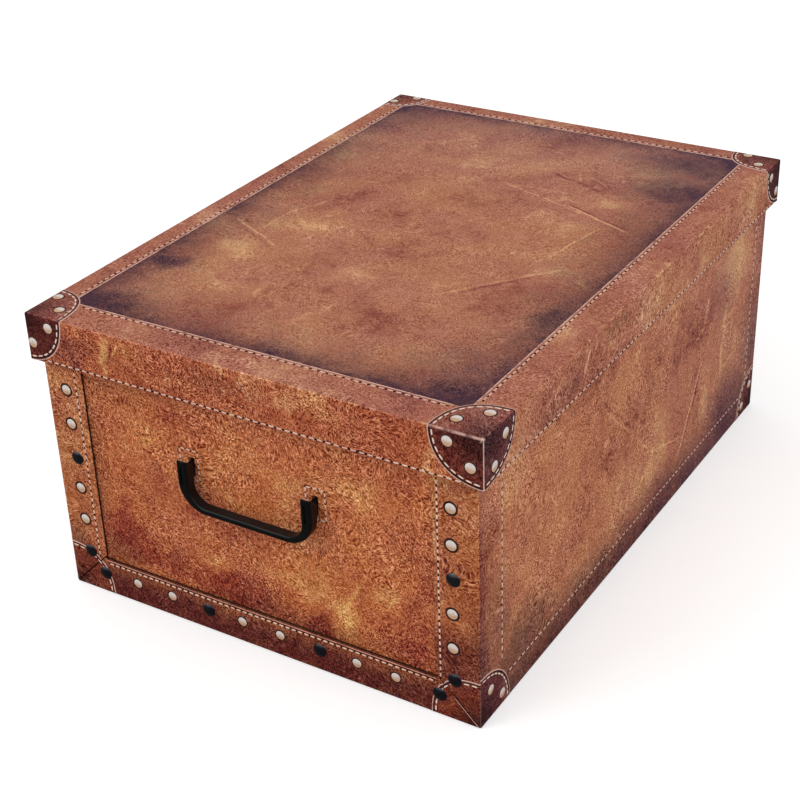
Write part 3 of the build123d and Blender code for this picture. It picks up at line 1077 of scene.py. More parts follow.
# %% [markdown]
# ## Stitches
#
# A seam is a path on one face of the sharp box, with that face's direction. Stitches
# are spaced evenly along it. Each is a closed bead: a small ellipsoid, half sunk in the
# paper, so its relief stays under a third of a millimetre. Between two stitches lies
# the dark hole that the thread goes through. They could be drawn in the finish, but a
# bead keeps its edge and its shadow from every side.


# %% Seams and beads
STITCH_PITCH = 6.4
STITCH = (4.4, 1.25, 0.24)  # length, width and height of one stitch
HOLE = (2.3, 1.5, 0.12)
BEAD_RINGS, BEAD_SIDES = 7, 8
LOOK_AHEAD = 0.05  # how far along the path its direction is measured


def spaced(path, pitch, at_ends):
    """Centres and directions at even steps along a path of points. With at_ends they lie
    halfway between the others, and at both ends too."""
    step = np.linalg.norm(np.diff(path, axis=0), axis=1)
    travelled = np.concatenate([[0], np.cumsum(step)])
    count = max(int(round(travelled[-1] / pitch)), 1)
    share = np.arange(count + 1) / count if at_ends else (np.arange(count) + 0.5) / count
    centres, ahead = (
        np.stack([np.interp(share * travelled[-1] + forward, travelled, path[:, axis])
                  for axis in range(3)], -1)
        for forward in (-LOOK_AHEAD, LOOK_AHEAD)
    )
    along = ahead - centres
    return (centres + ahead) / 2, along / np.linalg.norm(along, axis=1, keepdims=True)


def beads(seams, size, walls, base, pitch, at_ends=False):
    """Ellipsoids along seams. Round each, the place is length/2 * sin(v) along and
    width/2 * cos(v)**0.6 * cos(u) across, and the lift height * cos(v)**0.6 * sin(u)."""
    centres, along, across = [], [], []
    for path, normal in seams:
        middle, forward = spaced(np.asarray(path, float), pitch, at_ends)
        centres.append(middle)
        along.append(forward)
        across.append(np.cross(np.asarray(normal, float), forward))
    centres, along, across = (np.concatenate(v)[:, None, :] for v in (centres, along, across))
    v, u = np.meshgrid(np.linspace(-np.pi / 2, np.pi / 2, BEAD_RINGS),
                       np.arange(BEAD_SIDES) * 2 * np.pi / BEAD_SIDES, indexing="ij")
    round_off = np.clip(np.cos(v), 0, 1) ** 0.6
    length, width, height = size
    ahead = (length / 2 * np.sin(v)).ravel()[None, :, None]
    aside = (width / 2 * round_off * np.cos(u)).ravel()[None, :, None]
    lift = np.broadcast_to((base + height * round_off * np.sin(u)).ravel(),
                           (len(centres), v.size))
    points = hug(centres + along * ahead + across * aside, lift, walls)
    faces = copies(grid_faces(*v.shape, around=True), v.size, len(centres))
    twist = np.tile((ahead + aside).ravel(), len(centres))
    return points.reshape(-1, 3), faces, twist


def half_turn(seams):
    """The same seams on the opposite side of the box."""
    back = np.array([-1, -1, 1])
    return [(np.asarray(path) * back, np.asarray(normal) * back) for path, normal in seams]


# %% Thread and needle holes
STRAND = 1.1  # from one strand of the thread to the next
BEAD_BASE = 0.02  # beads start just above the paper


def thread_finish(name, dull, bright):
    """Waxed thread. Its two strands show as slanting stripes."""
    material, r, shader = new_finish(name, 0.6)
    twist = r.stored("twist")
    strand = r.calc("SINE", r.times(twist, 2 * np.pi / STRAND))
    dirt = r.noise(r.place(), 12.0, 4.0, 0.7)
    tone = r.calc("MULTIPLY_ADD", strand, 0.14, dirt)
    colour = r.mix(r.ease(tone, 0.2, 0.7), tint(*dull), tint(*bright))
    wire(r, shader, colour, height=strand)
    return material


def hole_finish():
    """The shadow in a needle hole, lighter where the leather is rubbed, and lighter on the
    long sides as painted sheen."""
    material, r, shader = new_finish("needle_hole", 0.8, specular=0.1)
    tone = r.noise(r.place(), 6.0, 3.0)
    _, sideways = facing(r)
    # painted sheen: the holes on the long sides are lighter
    tone = r.calc("MULTIPLY_ADD", sideways, 0.22, tone)
    wire(r, shader, r.mix(r.ease(tone, 0.42, 0.9), tint(26, 10, 9), tint(92, 48, 36)))
    return material


waxed_thread = thread_finish("waxed_thread", (188, 140, 122), (240, 210, 194))
worn_thread = thread_finish("worn_thread", (200, 150, 132), (246, 212, 196))
red_thread = thread_finish("reddened_thread", (222, 162, 132), (250, 212, 186))
cream_thread = thread_finish("cream_thread", (214, 180, 160), (246, 228, 210))
needle_hole = hole_finish()
print("made four threads and", needle_hole.name)


def sew(name, seams, walls, body, thread=waxed_thread, hole=HOLE, base=BEAD_BASE,
        pitch=STITCH_PITCH, size=STITCH):
    """Makes the stitches of some seams, and the holes between them as a second piece."""
    points, faces, twist = beads(seams, size, walls, base, pitch)
    make_piece(f"{name}_stitches", points, faces, [thread], body, twist=twist)
    if hole:
        points, faces, _ = beads(seams, hole, walls, base, pitch, at_ends=True)
        make_piece(f"{name}_holes", points, faces, [needle_hole], body)


# %% [markdown]
# ## Corner patches
#
# Every corner of the lid and of the tray is printed with a dark leather patch that wraps
# round it. On each face, the patch ends in a quarter of a superellipse:
# |a / reach_a|**n + |b / reach_b|**n = 1, which is a little squarer than an ellipse. A
# patch is made of wedges that fan out from the corner; their rows are close together
# in the folds and at the edge, where the patch has a thin raised welt.

# %% Reach of the patches
TOP_POWER, RIM_POWER, FOOT_POWER = 2.5, 2.2, 2.5
PATCH_REACH = 36.4
PATCH_LIFT = 0.12
WELT_LIFT = 0.12
WELT_WIDTH = 1.7
PATCH_SEAM = 3.2  # from the edge of a patch to its stitches
PATCH_PITCH = 5.7

PATCH_FLOOR = -0.3  # the underside of a patch, inside the board
SLIT_GAP = 0.75  # across the slit between two flaps, measured along one flap's edge
SLIT_FOOT = 3.2  # the slit starts this far from the corner

# Rows from the corner to the edge, close together in the fold and on the welt.
ROWS = np.array([0, 0.35, 0.7, 1.05, 1.4, 1.75, 2.6, 4, 6, 9, 12, 16, 20, 24, 28, 31.5,
                 34.2, 34.7, 35.1, 35.5, 35.9, 36.2, 36.4]) / PATCH_REACH
# Directions from along the fold to the diagonal, close together near the fold.
FAN = np.array([0, 0.01, 0.02, 0.03, 0.042, 0.06, 0.09, 0.14, 0.22, 0.34, 0.5, 0.66, 0.82, 1])
print("a wedge has", len(ROWS), "rows of", len(FAN), "points")


def wedge(reach_a, reach_b, power, swap):
    """Half a quarter superellipse as offsets (a, b) from the corner. Along a row the
    offsets run in one direction, whose share of b to a is the fan; swap exchanges them."""
    far, fan = np.meshgrid(ROWS, FAN, indexing="ij")
    first, second = (fan, np.ones_like(fan)) if swap else (np.ones_like(fan), fan)
    size = (first**power + second**power) ** (1 / power)
    edge_gap = (1 - far) * np.hypot(first * reach_a, second * reach_b) / size
    return reach_a * far * first / size, reach_b * far * second / size, edge_gap


def part_at_slit(a, b, swap):
    """Keeps the two halves of a patch clear of the 45-degree slit between the flaps."""
    gap = SLIT_GAP * ((b if swap else a) > SLIT_FOOT)
    return (np.minimum(a, b - gap), b) if swap else (a, np.minimum(b, a - gap))


# %% From wedges to a closed patch
def welt_lift(edge_gap):
    """Level inside, then a round welt along the edge, and down to the paper."""
    across = np.clip(edge_gap / WELT_WIDTH, 0, 1)
    return PATCH_LIFT * np.minimum(1, edge_gap / 0.25) + WELT_LIFT * np.sin(np.pi * across)


def slab(points, faces, lift, edge_gap, walls):
    """A closed sheet: a top at its lift, a bottom at the floor, and walls round every
    edge that only one face has."""
    points, faces, lift, edge_gap = weld(points, faces, lift, edge_gap)
    sides = np.stack([faces, np.roll(faces, -1, axis=1)], -1).reshape(-1, 2)
    sides = sides[sides[:, 0] != sides[:, 1]]
    _, which, uses = np.unique(np.sort(sides, 1), axis=0, return_index=True, return_counts=True)
    rim = sides[which[uses == 1]]
    below = len(points)
    wall_faces = np.stack([rim[:, 1], rim[:, 0], rim[:, 0] + below, rim[:, 1] + below], -1)
    top = hug(points, lift, walls)
    bottom = hug(points, np.full(below, PATCH_FLOOR), walls)
    faces = np.concatenate([faces, faces[:, ::-1] + below, wall_faces])
    return np.concatenate([top, bottom]), faces, np.tile(edge_gap, 2)


def corner_patch(corner, sides, walls, slit=False):
    """Joins the wedges of each face into one closed slab. A face is given by the two
    directions in which its wedges reach away from the corner. With a slit, the patch is
    parted on the box's end, where the first of them runs along x."""
    wedges = []
    for toward_a, toward_b, reach_a, reach_b, power in sides:
        for swap in (False, True):
            a, b, edge_gap = wedge(reach_a, reach_b, power, swap)
            if slit and toward_a[0]:
                a, b = part_at_slit(a, b, swap)
            spot = corner + a[..., None] * np.array(toward_a) + b[..., None] * np.array(toward_b)
            wedges.append((spot.reshape(-1, 3), grid_faces(*a.shape),
                           welt_lift(edge_gap).ravel(), edge_gap.ravel()))
    return slab(*join_meshes(wedges), walls)


# %% The patches' leather
# A patch's end, side and top tones are one leather lit differently, which is painted sheen.
LID_END_PATCH = leather((84, 26, 21), (126, 56, 40), (50, 14, 14), (34, 8, 12), grain=0.5)
LID_SIDE_PATCH = leather((86, 40, 45), (130, 80, 76), (56, 26, 34), (38, 16, 22), grain=0.5)
LID_TOP_PATCH = leather((130, 68, 58), (172, 120, 104), (84, 39, 35), (68, 32, 32), grain=0.7)
FOOT_END_PATCH = leather((114, 44, 28), (158, 84, 50), (72, 22, 16), (48, 15, 13), grain=0.65)
FOOT_SIDE_PATCH = leather((97, 44, 47), (140, 88, 82), (60, 26, 34), (38, 17, 23), grain=0.5)
PATCH_INK = (34, 13, 13)  # the dark line along a patch's edge
# pale where the dark paper is worn through, and as a painted highlight on the folds
WORN_AND_LIT_PALE = (214, 172, 158)  # where the dark paper is worn through on a fold
FOOT_PATCH_TOP = 45.0  # no tray patch is higher than this
SLIT_LINE, SLIT_LINE_END = 0.8, 21.0  # how far below the slit its line lies, and its top


def folds_worn_and_lit(r, gaps, z, rubbed):
    """Painted pale along the upright folds, less so along the level ones, and round the very
    point of the corner: partly worn paper, and partly a painted highlight on the rounded
    folds. A fold is where two of the gaps to the walls are small."""
    to_side, to_end, to_level = gaps
    upright = r.ease(r.largest(to_side, to_end), 0.45, 0.85, 1.0, 0.0)
    level = r.ease(r.largest(to_end, to_level), 0.5, 1.7, 0.75, 0.0)
    point = r.ease(r.largest(to_side, to_end, to_level), 1.5, 3.4, 1.0, 0.0)
    worn_and_lit = r.largest(r.times(upright, r.ease(rubbed, 0.3, 0.5, 0.6, 1.0)),
                     r.times(level, r.ease(rubbed, 0.4, 0.6, 0.2, 1.0)),
                     r.times(point, r.ease(rubbed, 0.45, 0.55)))
    return r.times(worn_and_lit, r.ease(z, FOOT_PATCH_TOP, FOOT_PATCH_TOP + 2.0, 0.12, 1.0))


def slit_edge(r, to_side, z, sideways):
    """The pale edge of the paper beside the slit. The slit goes up from the corner at 45
    degrees, so on it z equals the distance to the side."""
    off_line = r.absolute(r.plus(r.minus(z, to_side), SLIT_LINE))
    edge = r.times(r.ease(off_line, 0.25, 0.55, 1.0, 0.0), r.minus(1.0, sideways))
    return r.times(edge, r.ease(z, SLIT_LINE_END - 4.0, SLIT_LINE_END, 1.0, 0.0))


def edge_lines(r, colour, edge_gap, rubbed):
    """A pale, thread-thin edge and an inked line inside it."""
    darkened = r.times(r.ease(edge_gap, 0.7, 1.0), r.ease(edge_gap, 1.7, 2.6, 1.0, 0.0))
    colour = r.mix(r.times(darkened, 0.8), colour, tint(*PATCH_INK))
    on_edge = r.ease(edge_gap, 0.7, 1.0, 1.0, 0.0)
    pale_edge = r.times(on_edge, r.ease(rubbed, 0.3, 0.5, 0.6, 1.0))
    return r.mix(pale_edge, colour, tint(*WORN_AND_LIT_PALE))


def patch_finish(name, walls, end_hide, side_hide, top_hide):
    """Oxblood leather that darkens away from its edge. Its tones change with the way a face
    points, which is painted sheen. At two corners, the front right and the rear left, the
    dark paper is painted pale on the folds and round the very point: partly worn through,
    and partly a painted highlight along the rounded folds."""
    material, r, shader = new_finish(name, 0.5, specular=0.15)
    place = r.place()
    up, sideways = facing(r)
    # painted sheen: the patch's tones change with the way a face points
    tones = between(r, up, between(r, sideways, end_hide, side_hide), top_hide)
    edge_gap = r.stored("edge_gap")
    pebbles = r.noise(r.push(place, 6.0, 4.0), 4.5, 3.0, 0.65)
    pale = r.times(r.ease(pebbles, 0.5, 0.68), 0.9)
    colour, height = hide(r, place, tones, r.ease(edge_gap, 8.0, 36.0, 0.0, 0.75), pale)
    rubbed = r.noise(place, 7.0, 4.0, 0.7)
    colour = edge_lines(r, colour, edge_gap, rubbed)
    x, y, z = r.split(place)
    gaps = wall_gaps(r, place, walls)
    worn_and_lit = r.largest(folds_worn_and_lit(r, gaps, z, rubbed), slit_edge(r, gaps[0], z, sideways))
    at_old_corner = r.calc("LESS_THAN", r.times(x, y), 0.0)
    # the pale folds are partly wear and partly painted highlight, at two corners only
    colour = r.mix(r.times(worn_and_lit, at_old_corner), colour, tint(*WORN_AND_LIT_PALE))
    wire(r, shader, colour, height=height, depth=0.06)
    return material


def patch_piece(name, patches, finish, body):
    """Joins several corner patches in one piece."""
    points, faces, edge_gap = join_meshes(patches)
    make_piece(name, points, faces, [finish], body, edge_gap=edge_gap)


# %% Patches of the lid
CORNERS = [(-1, -1), (1, -1), (-1, 1), (1, 1)]
RIM_REACH = LID_TOP - LID_FOOT - 0.15  # down to just above the rolled edge


def lid_corner(sign_x, sign_y):
    """Corner point and reach of a lid patch. The paper's shift makes the patches larger
    on the right and at the front."""
    corner = np.array([sign_x * LID_X, sign_y * LID_Y, LID_TOP])
    reach_x = PATCH_REACH - sign_x * SHIFT_X
    reach_y = PATCH_REACH - sign_y * SHIFT_Y
    in_x, in_y, down = (-sign_x, 0, 0), (0, -sign_y, 0), (0, 0, -1)
    sides = [
        (in_x, in_y, reach_x, reach_y, TOP_POWER),
        (in_x, down, reach_x, RIM_REACH, RIM_POWER),
        (in_y, down, reach_y, RIM_REACH, RIM_POWER),
    ]
    return corner, sides


lid_patch_leather = patch_finish("lid_patch_leather", lid_walls, LID_END_PATCH,
                                 LID_SIDE_PATCH, LID_TOP_PATCH)
lid_patches = [corner_patch(*lid_corner(*signs), lid_walls) for signs in CORNERS]
patch_piece("lid_corner_patches", lid_patches, lid_patch_leather, "lid")

# %% Patches of the tray
TRAY_SHIFT_Y = 2.9  # how far the print of the tray's sides lies off
TRAY_REACH = 38.0
TRAY_SIDE_REACH, TRAY_SIDE_RISE = 38.2, 41.0  # along a side and up it


def tray_corner(sign_x, sign_y):
    """Corner point and reach of a tray patch. Each end and side is printed alike after
    a half turn, so the paper's shift swaps with the side."""
    corner = np.array([sign_x * TRAY_X, sign_y * TRAY_Y, 0.0])
    reach_y = TRAY_SIDE_REACH - sign_x * sign_y * TRAY_SHIFT_Y
    in_x, in_y, up = (-sign_x, 0, 0), (0, -sign_y, 0), (0, 0, 1)
    sides = [
        (in_x, up, TRAY_REACH, TRAY_REACH, FOOT_POWER),
        (in_y, up, reach_y, TRAY_SIDE_RISE, RIM_POWER),
    ]
    return corner, sides


tray_patch_leather = patch_finish("tray_patch_leather", tray_walls, FOOT_END_PATCH,
                                  FOOT_SIDE_PATCH, FOOT_SIDE_PATCH)
tray_patches = [corner_patch(*tray_corner(*signs), tray_walls, slit=True) for signs in CORNERS]
patch_piece("tray_corner_patches", tray_patches, tray_patch_leather, "box")

# %% [markdown]
# ## Sewing the patches down
#
# The seam of a patch runs inside its edge, on the same curve with a shorter reach. It
# stops short of the folds, as the printed one does.


# %% Seams of the patches
SEAM_STEPS = 80
SEAM_CLEAR = 1.2  # a patch's seam stops this far from the folds


def patch_seams(corner, sides):
    """The curve a = reach * cos(t)**(2/n), b = reach * sin(t)**(2/n) on each face."""
    seams = []
    for toward_a, toward_b, reach_a, reach_b, power in sides:
        turn = np.linspace(0, np.pi / 2, SEAM_STEPS)
        a = (reach_a - PATCH_SEAM) * np.cos(turn) ** (2 / power)
        b = (reach_b - PATCH_SEAM) * np.clip(np.sin(turn), 0, 1) ** (2 / power)
        keep = (a > SEAM_CLEAR) & (b > SEAM_CLEAR)
        path = corner + a[keep, None] * np.array(toward_a) + b[keep, None] * np.array(toward_b)
        normal = np.abs(np.cross(toward_a, toward_b)) * np.sign(corner + (0, 0, -1))
        seams.append((path, normal))
    return seams


lid_patch_seams = [seam for signs in CORNERS for seam in patch_seams(*lid_corner(*signs))]
sew("lid_patch", lid_patch_seams, lid_walls, "lid", cream_thread, None, PATCH_LIFT, PATCH_PITCH)
tray_patch_seams = [seam for signs in CORNERS for seam in patch_seams(*tray_corner(*signs))]
sew("tray_patch", tray_patch_seams, tray_walls, "box", cream_thread, None, PATCH_LIFT, PATCH_PITCH)

# %% [markdown]
# ## The long seams
#
# One seam frames the lid's top panel, and one runs round the foot of the rims. On the
# tray, seams follow the flaps of the ends and frame the sides. They stop where a patch
# begins.

# %% Seams of the lid
PANEL_SEAM = 2.8  # outside the top panel's edge
RIM_SEAM = LID_FOOT + 2.4
RIM_SEAM_STOP = 15.0  # from the corner, under its patch
UP = (0, 0, 1)


def lid_seams():
    """A frame round the top panel, which stops at the patches, and one round the rims."""
    start_x, end_x = (SHIFT_X + side * (LID_X - PATCH_REACH) for side in (-1, 1))
    start_y, end_y = (SHIFT_Y + side * (LID_Y - PATCH_REACH) for side in (-1, 1))
    across, lengthwise, rims = [], [], []
    for side in (-1, 1):
        y = SHIFT_Y + side * (PANEL_Y + PANEL_SEAM)
        across.append((line((start_x, y, LID_TOP), (end_x, y, LID_TOP)), UP))
        x = SHIFT_X + side * (PANEL_X + PANEL_SEAM)
        lengthwise.append((line((x, start_y, LID_TOP), (x, end_y, LID_TOP)), UP))
        x, y = LID_X - RIM_SEAM_STOP, LID_Y - RIM_SEAM_STOP
        end, wall = side * LID_Y, side * LID_X
        rims.append((line((-x, end, RIM_SEAM), (x, end, RIM_SEAM)), (0, side, 0)))
        rims.append((line((wall, -y, RIM_SEAM), (wall, y, RIM_SEAM)), (side, 0, 0)))
    return across + lengthwise + rims


sew("lid_seam", lid_seams(), lid_walls, "lid")

# %% Seams of the tray
POST_SEAM_LEFT, POST_SEAM_RIGHT = -149.0, 146.0  # the upright flaps' seams
POST_SEAM_FOOT = 32.0
SILL_SEAM, SILL_SEAM_END = 27.5, 141.0
SIDE_SEAM_FRONT, SIDE_SEAM_REAR, SIDE_SEAM_LOW = -219.0, 227.5, 38.0
SIDE_SEAM_FOOT, SIDE_SEAM_START, SIDE_SEAM_END = 22.0, -210.0, 216.0
SEAM_TOP = TRAY_TOP - 3  # the upright seams end just below the board's edge
FLAP_PITCH = 5.3
FRONT, BACK, RIGHT = (0, -1, 0), (0, 1, 0), (1, 0, 0)

post_seams = [
    (line((x, -TRAY_Y, POST_SEAM_FOOT), (x, -TRAY_Y, SEAM_TOP)), FRONT)
    for x in (POST_SEAM_LEFT, POST_SEAM_RIGHT)
]
sill_seam = [
    (line((-SILL_SEAM_END, -TRAY_Y, SILL_SEAM), (SILL_SEAM_END, -TRAY_Y, SILL_SEAM)), FRONT)
]
side_seams = [
    (line((TRAY_X, y, SIDE_SEAM_LOW), (TRAY_X, y, SEAM_TOP)), RIGHT)
    for y in (SIDE_SEAM_FRONT, SIDE_SEAM_REAR)
]
side_seams.append((line((TRAY_X, SIDE_SEAM_START, SIDE_SEAM_FOOT),
                        (TRAY_X, SIDE_SEAM_END, SIDE_SEAM_FOOT)), RIGHT))
post_seams += half_turn(post_seams)
sill_seam += half_turn(sill_seam)
side_seams += half_turn(side_seams)
sew("post_seam", post_seams, tray_walls, "box", worn_thread, pitch=FLAP_PITCH,
    size=(3.3, 1.4, 0.22), hole=(2.3, 1.3, 0.12))
sew("sill_seam", sill_seam, tray_walls, "box", red_thread, pitch=FLAP_PITCH,
    size=(3.7, 1.5, 0.24), hole=(1.4, 1.2, 0.12))
sew("side_seam", side_seams, tray_walls, "box", hole=(2.1, 1.3, 0.12))

# %% [markdown]
# The handle ends are framed by a small stitched box each. It is printed on the end
# panel, whose face lies one board behind the flaps.

# %% Stitched boxes round the handle ends
HANDLE_BOX_X, HANDLE_BOX_HALF, HANDLE_BOX_SHIFT = 52.5, 7.7, -1.0
HANDLE_BOX_FOOT, HANDLE_BOX_TOP = 128.0, 151.7
PANEL_FACE = -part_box("front_panel")[0][1] / MM


def handle_boxes():
    """Round all four sides of a small box, at both ends of the handle."""
    seams = []
    for side in (-1, 1):
        left = side * HANDLE_BOX_X + HANDLE_BOX_SHIFT - HANDLE_BOX_HALF
        right = left + 2 * HANDLE_BOX_HALF
        corners = [(left, HANDLE_BOX_FOOT), (left, HANDLE_BOX_TOP),
                   (right, HANDLE_BOX_TOP), (right, HANDLE_BOX_FOOT)]
        for (x, z), (next_x, next_z) in zip(corners, corners[1:] + corners[:1]):
            seams.append((line((x, -PANEL_FACE, z), (next_x, -PANEL_FACE, next_z)), FRONT))
    return seams + half_turn(seams)


flat_walls = (np.array([-PANEL_FACE, -PANEL_FACE, -NO_FOLD]),
              np.array([PANEL_FACE, PANEL_FACE, TRAY_TOP + NO_FOLD]))
sew("handle_seam", handle_boxes(), flat_walls, "box", worn_thread, pitch=5.2,
    size=(3.7, 1.2, 0.22), hole=(1.9, 1.1, 0.12))

# %% [markdown]
# ## Studs
#
# The pale studs are print as well: a cream disc with a dark ring, lit from above. Each
# is a very low dome, a profile of (radius, lift) turned about its middle. The faces of
# the ring take the dark finish, and an attribute says how high on its disc a point lies,
# because a finish on Object coordinates can't know where each disc begins.

# %% Shape and finish of a stud
STUD_DOME = np.array([(0, 0.3), (0.42, 0.29), (0.73, 0.25), (0.91, 0.19), (1, 0.12)])
STUD_FACE_ROWS = len(STUD_DOME) - 1  # rows of the profile that belong to the pale disc
STUD_STEPS = 20
STUD_SUNK = 0.2


def stud_face_finish():
    """Grey and cream above the middle, tan below it, with specks of grime."""
    material, r, shader = new_finish("printed_stud", 0.45)
    up = r.stored("up")
    place = r.place()
    grime = r.noise(place, 2.6, 4.0, 0.7)
    half = r.ease(r.sway(up, grime, 0.8), -0.55, 0.45)
    colour = r.mix(half, tint(198, 156, 124), tint(218, 208, 202))
    specks = r.ease(r.noise(place, 5.0, 4.0, 0.75), 0.56, 0.74, 0.0, 0.7)
    colour = r.mix(specks, colour, tint(128, 92, 74))
    wire(r, shader, colour, height=grime, depth=0.03)
    return material


def stud_ring_finish():
    """The printed shadow round a stud, which fades a little on its way out."""
    material, r, shader = new_finish("stud_shadow", 0.65, specular=0.15)
    out = r.stored("out")
    tone = r.sway(out, r.noise(r.place(), 3.0, 3.0), 0.5)
    wire(r, shader, r.mix(r.ease(tone, 0.84, 1.0), tint(48, 22, 16), tint(98, 54, 38)))
    return material


printed_stud, stud_shadow = stud_face_finish(), stud_ring_finish()
print("made", printed_stud.name, "and", stud_shadow.name)


def make_studs(name, spots, walls, body, face, ring, base=0.0):
    """Turns a profile about each spot: a dome as wide as the pale face, then a thin ring,
    and a flat underside sunk in the paper. A spot is a point, and its face's right and
    up; face and ring are the radii of the disc and of its ring."""
    skirt = [(face + 0.3 * (ring - face), 0.07), (ring - 0.4, 0.05), (ring, 0)]
    under = [(ring, -STUD_SUNK), (0, -STUD_SUNK)]
    profile = np.concatenate([STUD_DOME * (face, 1), skirt, under])
    angle = np.arange(STUD_STEPS) * 2 * np.pi / STUD_STEPS
    aside = profile[:, :1] * np.cos(angle)
    upward = profile[:, :1] * np.sin(angle)
    lift = np.broadcast_to(profile[:, 1:] + base, aside.shape)
    centre, right, up = (np.array(v, float)[:, None, None, :] for v in zip(*spots))
    spot = centre + right * aside[..., None] + up * upward[..., None]
    count = len(spots)
    points = hug(spot, np.broadcast_to(lift, spot.shape[:-1]), walls).reshape(-1, 3)
    one_stud = grid_faces(*aside.shape, around=True)
    on_ring = np.arange(len(one_stud)) // STUD_STEPS >= STUD_FACE_ROWS
    high = np.tile((upward / face).ravel(), count)
    far = np.tile((np.hypot(aside, upward) / ring).ravel(), count)
    make_piece(name, points, copies(one_stud, aside.size, count), [printed_stud, stud_shadow],
               body, np.tile(on_ring, count), up=high, out=far)


# %% Studs of the lid's patches
TOP_STUDS = [(23.6, 9.4), (8.7, 25.2)]
FRONT_STUDS = [(23.3, 7.9), (7.1, 22.6)]
SIDE_STUDS = [(24.1, 9.3), (9.9, 25.6)]
RIM_SHIFT = 0.7  # the share of the print's shift that shows on the rims


def lid_stud_spots():
    """Two studs on each face of each corner, measured from the corner, and moved with
    the print, which lies off the middle."""
    spots = []
    for sign_x, sign_y in CORNERS:
        corner = np.array([sign_x * LID_X, sign_y * LID_Y, LID_TOP])
        for a, b in TOP_STUDS:
            inward = (sign_x * a - SHIFT_X, sign_y * b - SHIFT_Y, 0)
            spots.append((corner - inward, RIGHT, BACK))
        for a, down in FRONT_STUDS:
            spots.append((corner - (sign_x * a - SHIFT_X * RIM_SHIFT, 0, down), RIGHT, UP))
        for b, down in SIDE_STUDS:
            spots.append((corner - (0, sign_y * b - SHIFT_Y * RIM_SHIFT, down), BACK, UP))
    return spots


make_studs("lid_studs", lid_stud_spots(), lid_walls, "lid", face=3.8, ring=4.9,
           base=PATCH_LIFT)

# %% Studs of the tray
LEFT_POST_STUDS, RIGHT_POST_STUDS = (172.3, 144.3, 89.8, 62.3), (170.3, 142.3, 88.3, 60.3)
LEFT_POST_X, RIGHT_POST_X = -158.5, 156.0
SILL_STUDS = (-114.6, -82.1, -18.6, 14.4, 78.9, 110.4)
SILL_STUD_Z = 18.3
CORNER_STUDS = [(14.0, 24.0), (30.2, 9.7)]


def end_spots(places):
    """Spots on the front end, and the same turned round onto the rear one."""
    return [((turn * x, -turn * TRAY_Y, z), RIGHT, UP) for turn in (1, -1) for x, z in places]


def foot_spots():
    """Two studs on the side of each tray patch."""
    spots = []
    for turn in (1, -1):
        for y, z in CORNER_STUDS:
            for along in (y - TRAY_Y, TRAY_Y - y + 2 * TRAY_SHIFT_Y):
                spots.append(((turn * TRAY_X, turn * along, z), BACK, UP))
    return spots


left_post = [(LEFT_POST_X, z) for z in LEFT_POST_STUDS]
right_post = [(RIGHT_POST_X, z) for z in RIGHT_POST_STUDS]
sill = [(x, SILL_STUD_Z) for x in SILL_STUDS]
make_studs("post_studs", end_spots(left_post + right_post), tray_walls, "box",
           face=3.9, ring=5.6)
make_studs("sill_studs", end_spots(sill), tray_walls, "box", face=3.6, ring=4.8)
make_studs("foot_studs", foot_spots(), tray_walls, "box", face=3.8, ring=4.4)

# %% [markdown]
# ## The top panel's welt
#
# The panel is printed with a thin pale edge, where its leather is turned under. It is a
# flat bead: a section of (across, lift) carried round a rectangle, which goes down with
# the sag of the lid. A bevelled curve would do too, but couldn't follow the sag.

# %% Welt round the top panel
WELT_SECTION = np.array([(-0.55, -0.1), (-0.4, 0.08), (0, 0.13), (0.4, 0.08), (0.55, -0.1)])
WELT_CORNER = 4.0


def welt_finish():
    """Pale where the edge is rubbed, and brown in between."""
    material, r, shader = new_finish("turned_edge", 0.5)
    rubbed = r.noise(r.place(), 10.0, 5.0, 0.7)
    wire(r, shader, r.mix(r.ease(rubbed, 0.32, 0.54), tint(140, 90, 76), tint(220, 178, 160)))
    return material


def make_top_welt():
    """Each section point is a loop of its own round the panel, at its own lift."""
    loops = [rounded_loop(PANEL_X + across, PANEL_Y + across, WELT_CORNER + across)
             for across, _ in WELT_SECTION]
    loops = np.stack(loops) + (SHIFT_X, SHIFT_Y)
    inset = np.min((LID_X, LID_Y) - np.abs(loops), axis=-1)
    points, faces = stack_loops(loops, LID_TOP + WELT_SECTION[:, 1:] - sag(inset))
    rows, columns = inset.shape
    ring = np.arange(columns)
    after = (ring + 1) % columns
    last = (rows - 1) * columns
    closing = np.stack([last + ring, last + after, after, ring], -1)
    make_piece("top_panel_welt", points, np.concatenate([faces, closing]), [welt_finish()], "lid")


make_top_welt()

# %% [markdown]
# ## Black plastic
#
# The handles and the snap rivets are moulded in black plastic. It is glossy, with a fine
# haze from handling: the roughness changes in soft streaks, and a few hairline scratches
# catch the light. Where it faces up, a pale grey is painted on as a highlight, which
# shows mostly on the rivets' domes. Their shape is right in the CAD model already, so
# they only get a finish.


# %% Handles and rivets
HAZE_STEP = 9  # how much lighter the haze is, on screen
# the pale grey of the painted highlight on upward faces
HIGHLIGHT_SHADE = (150, 152, 164)


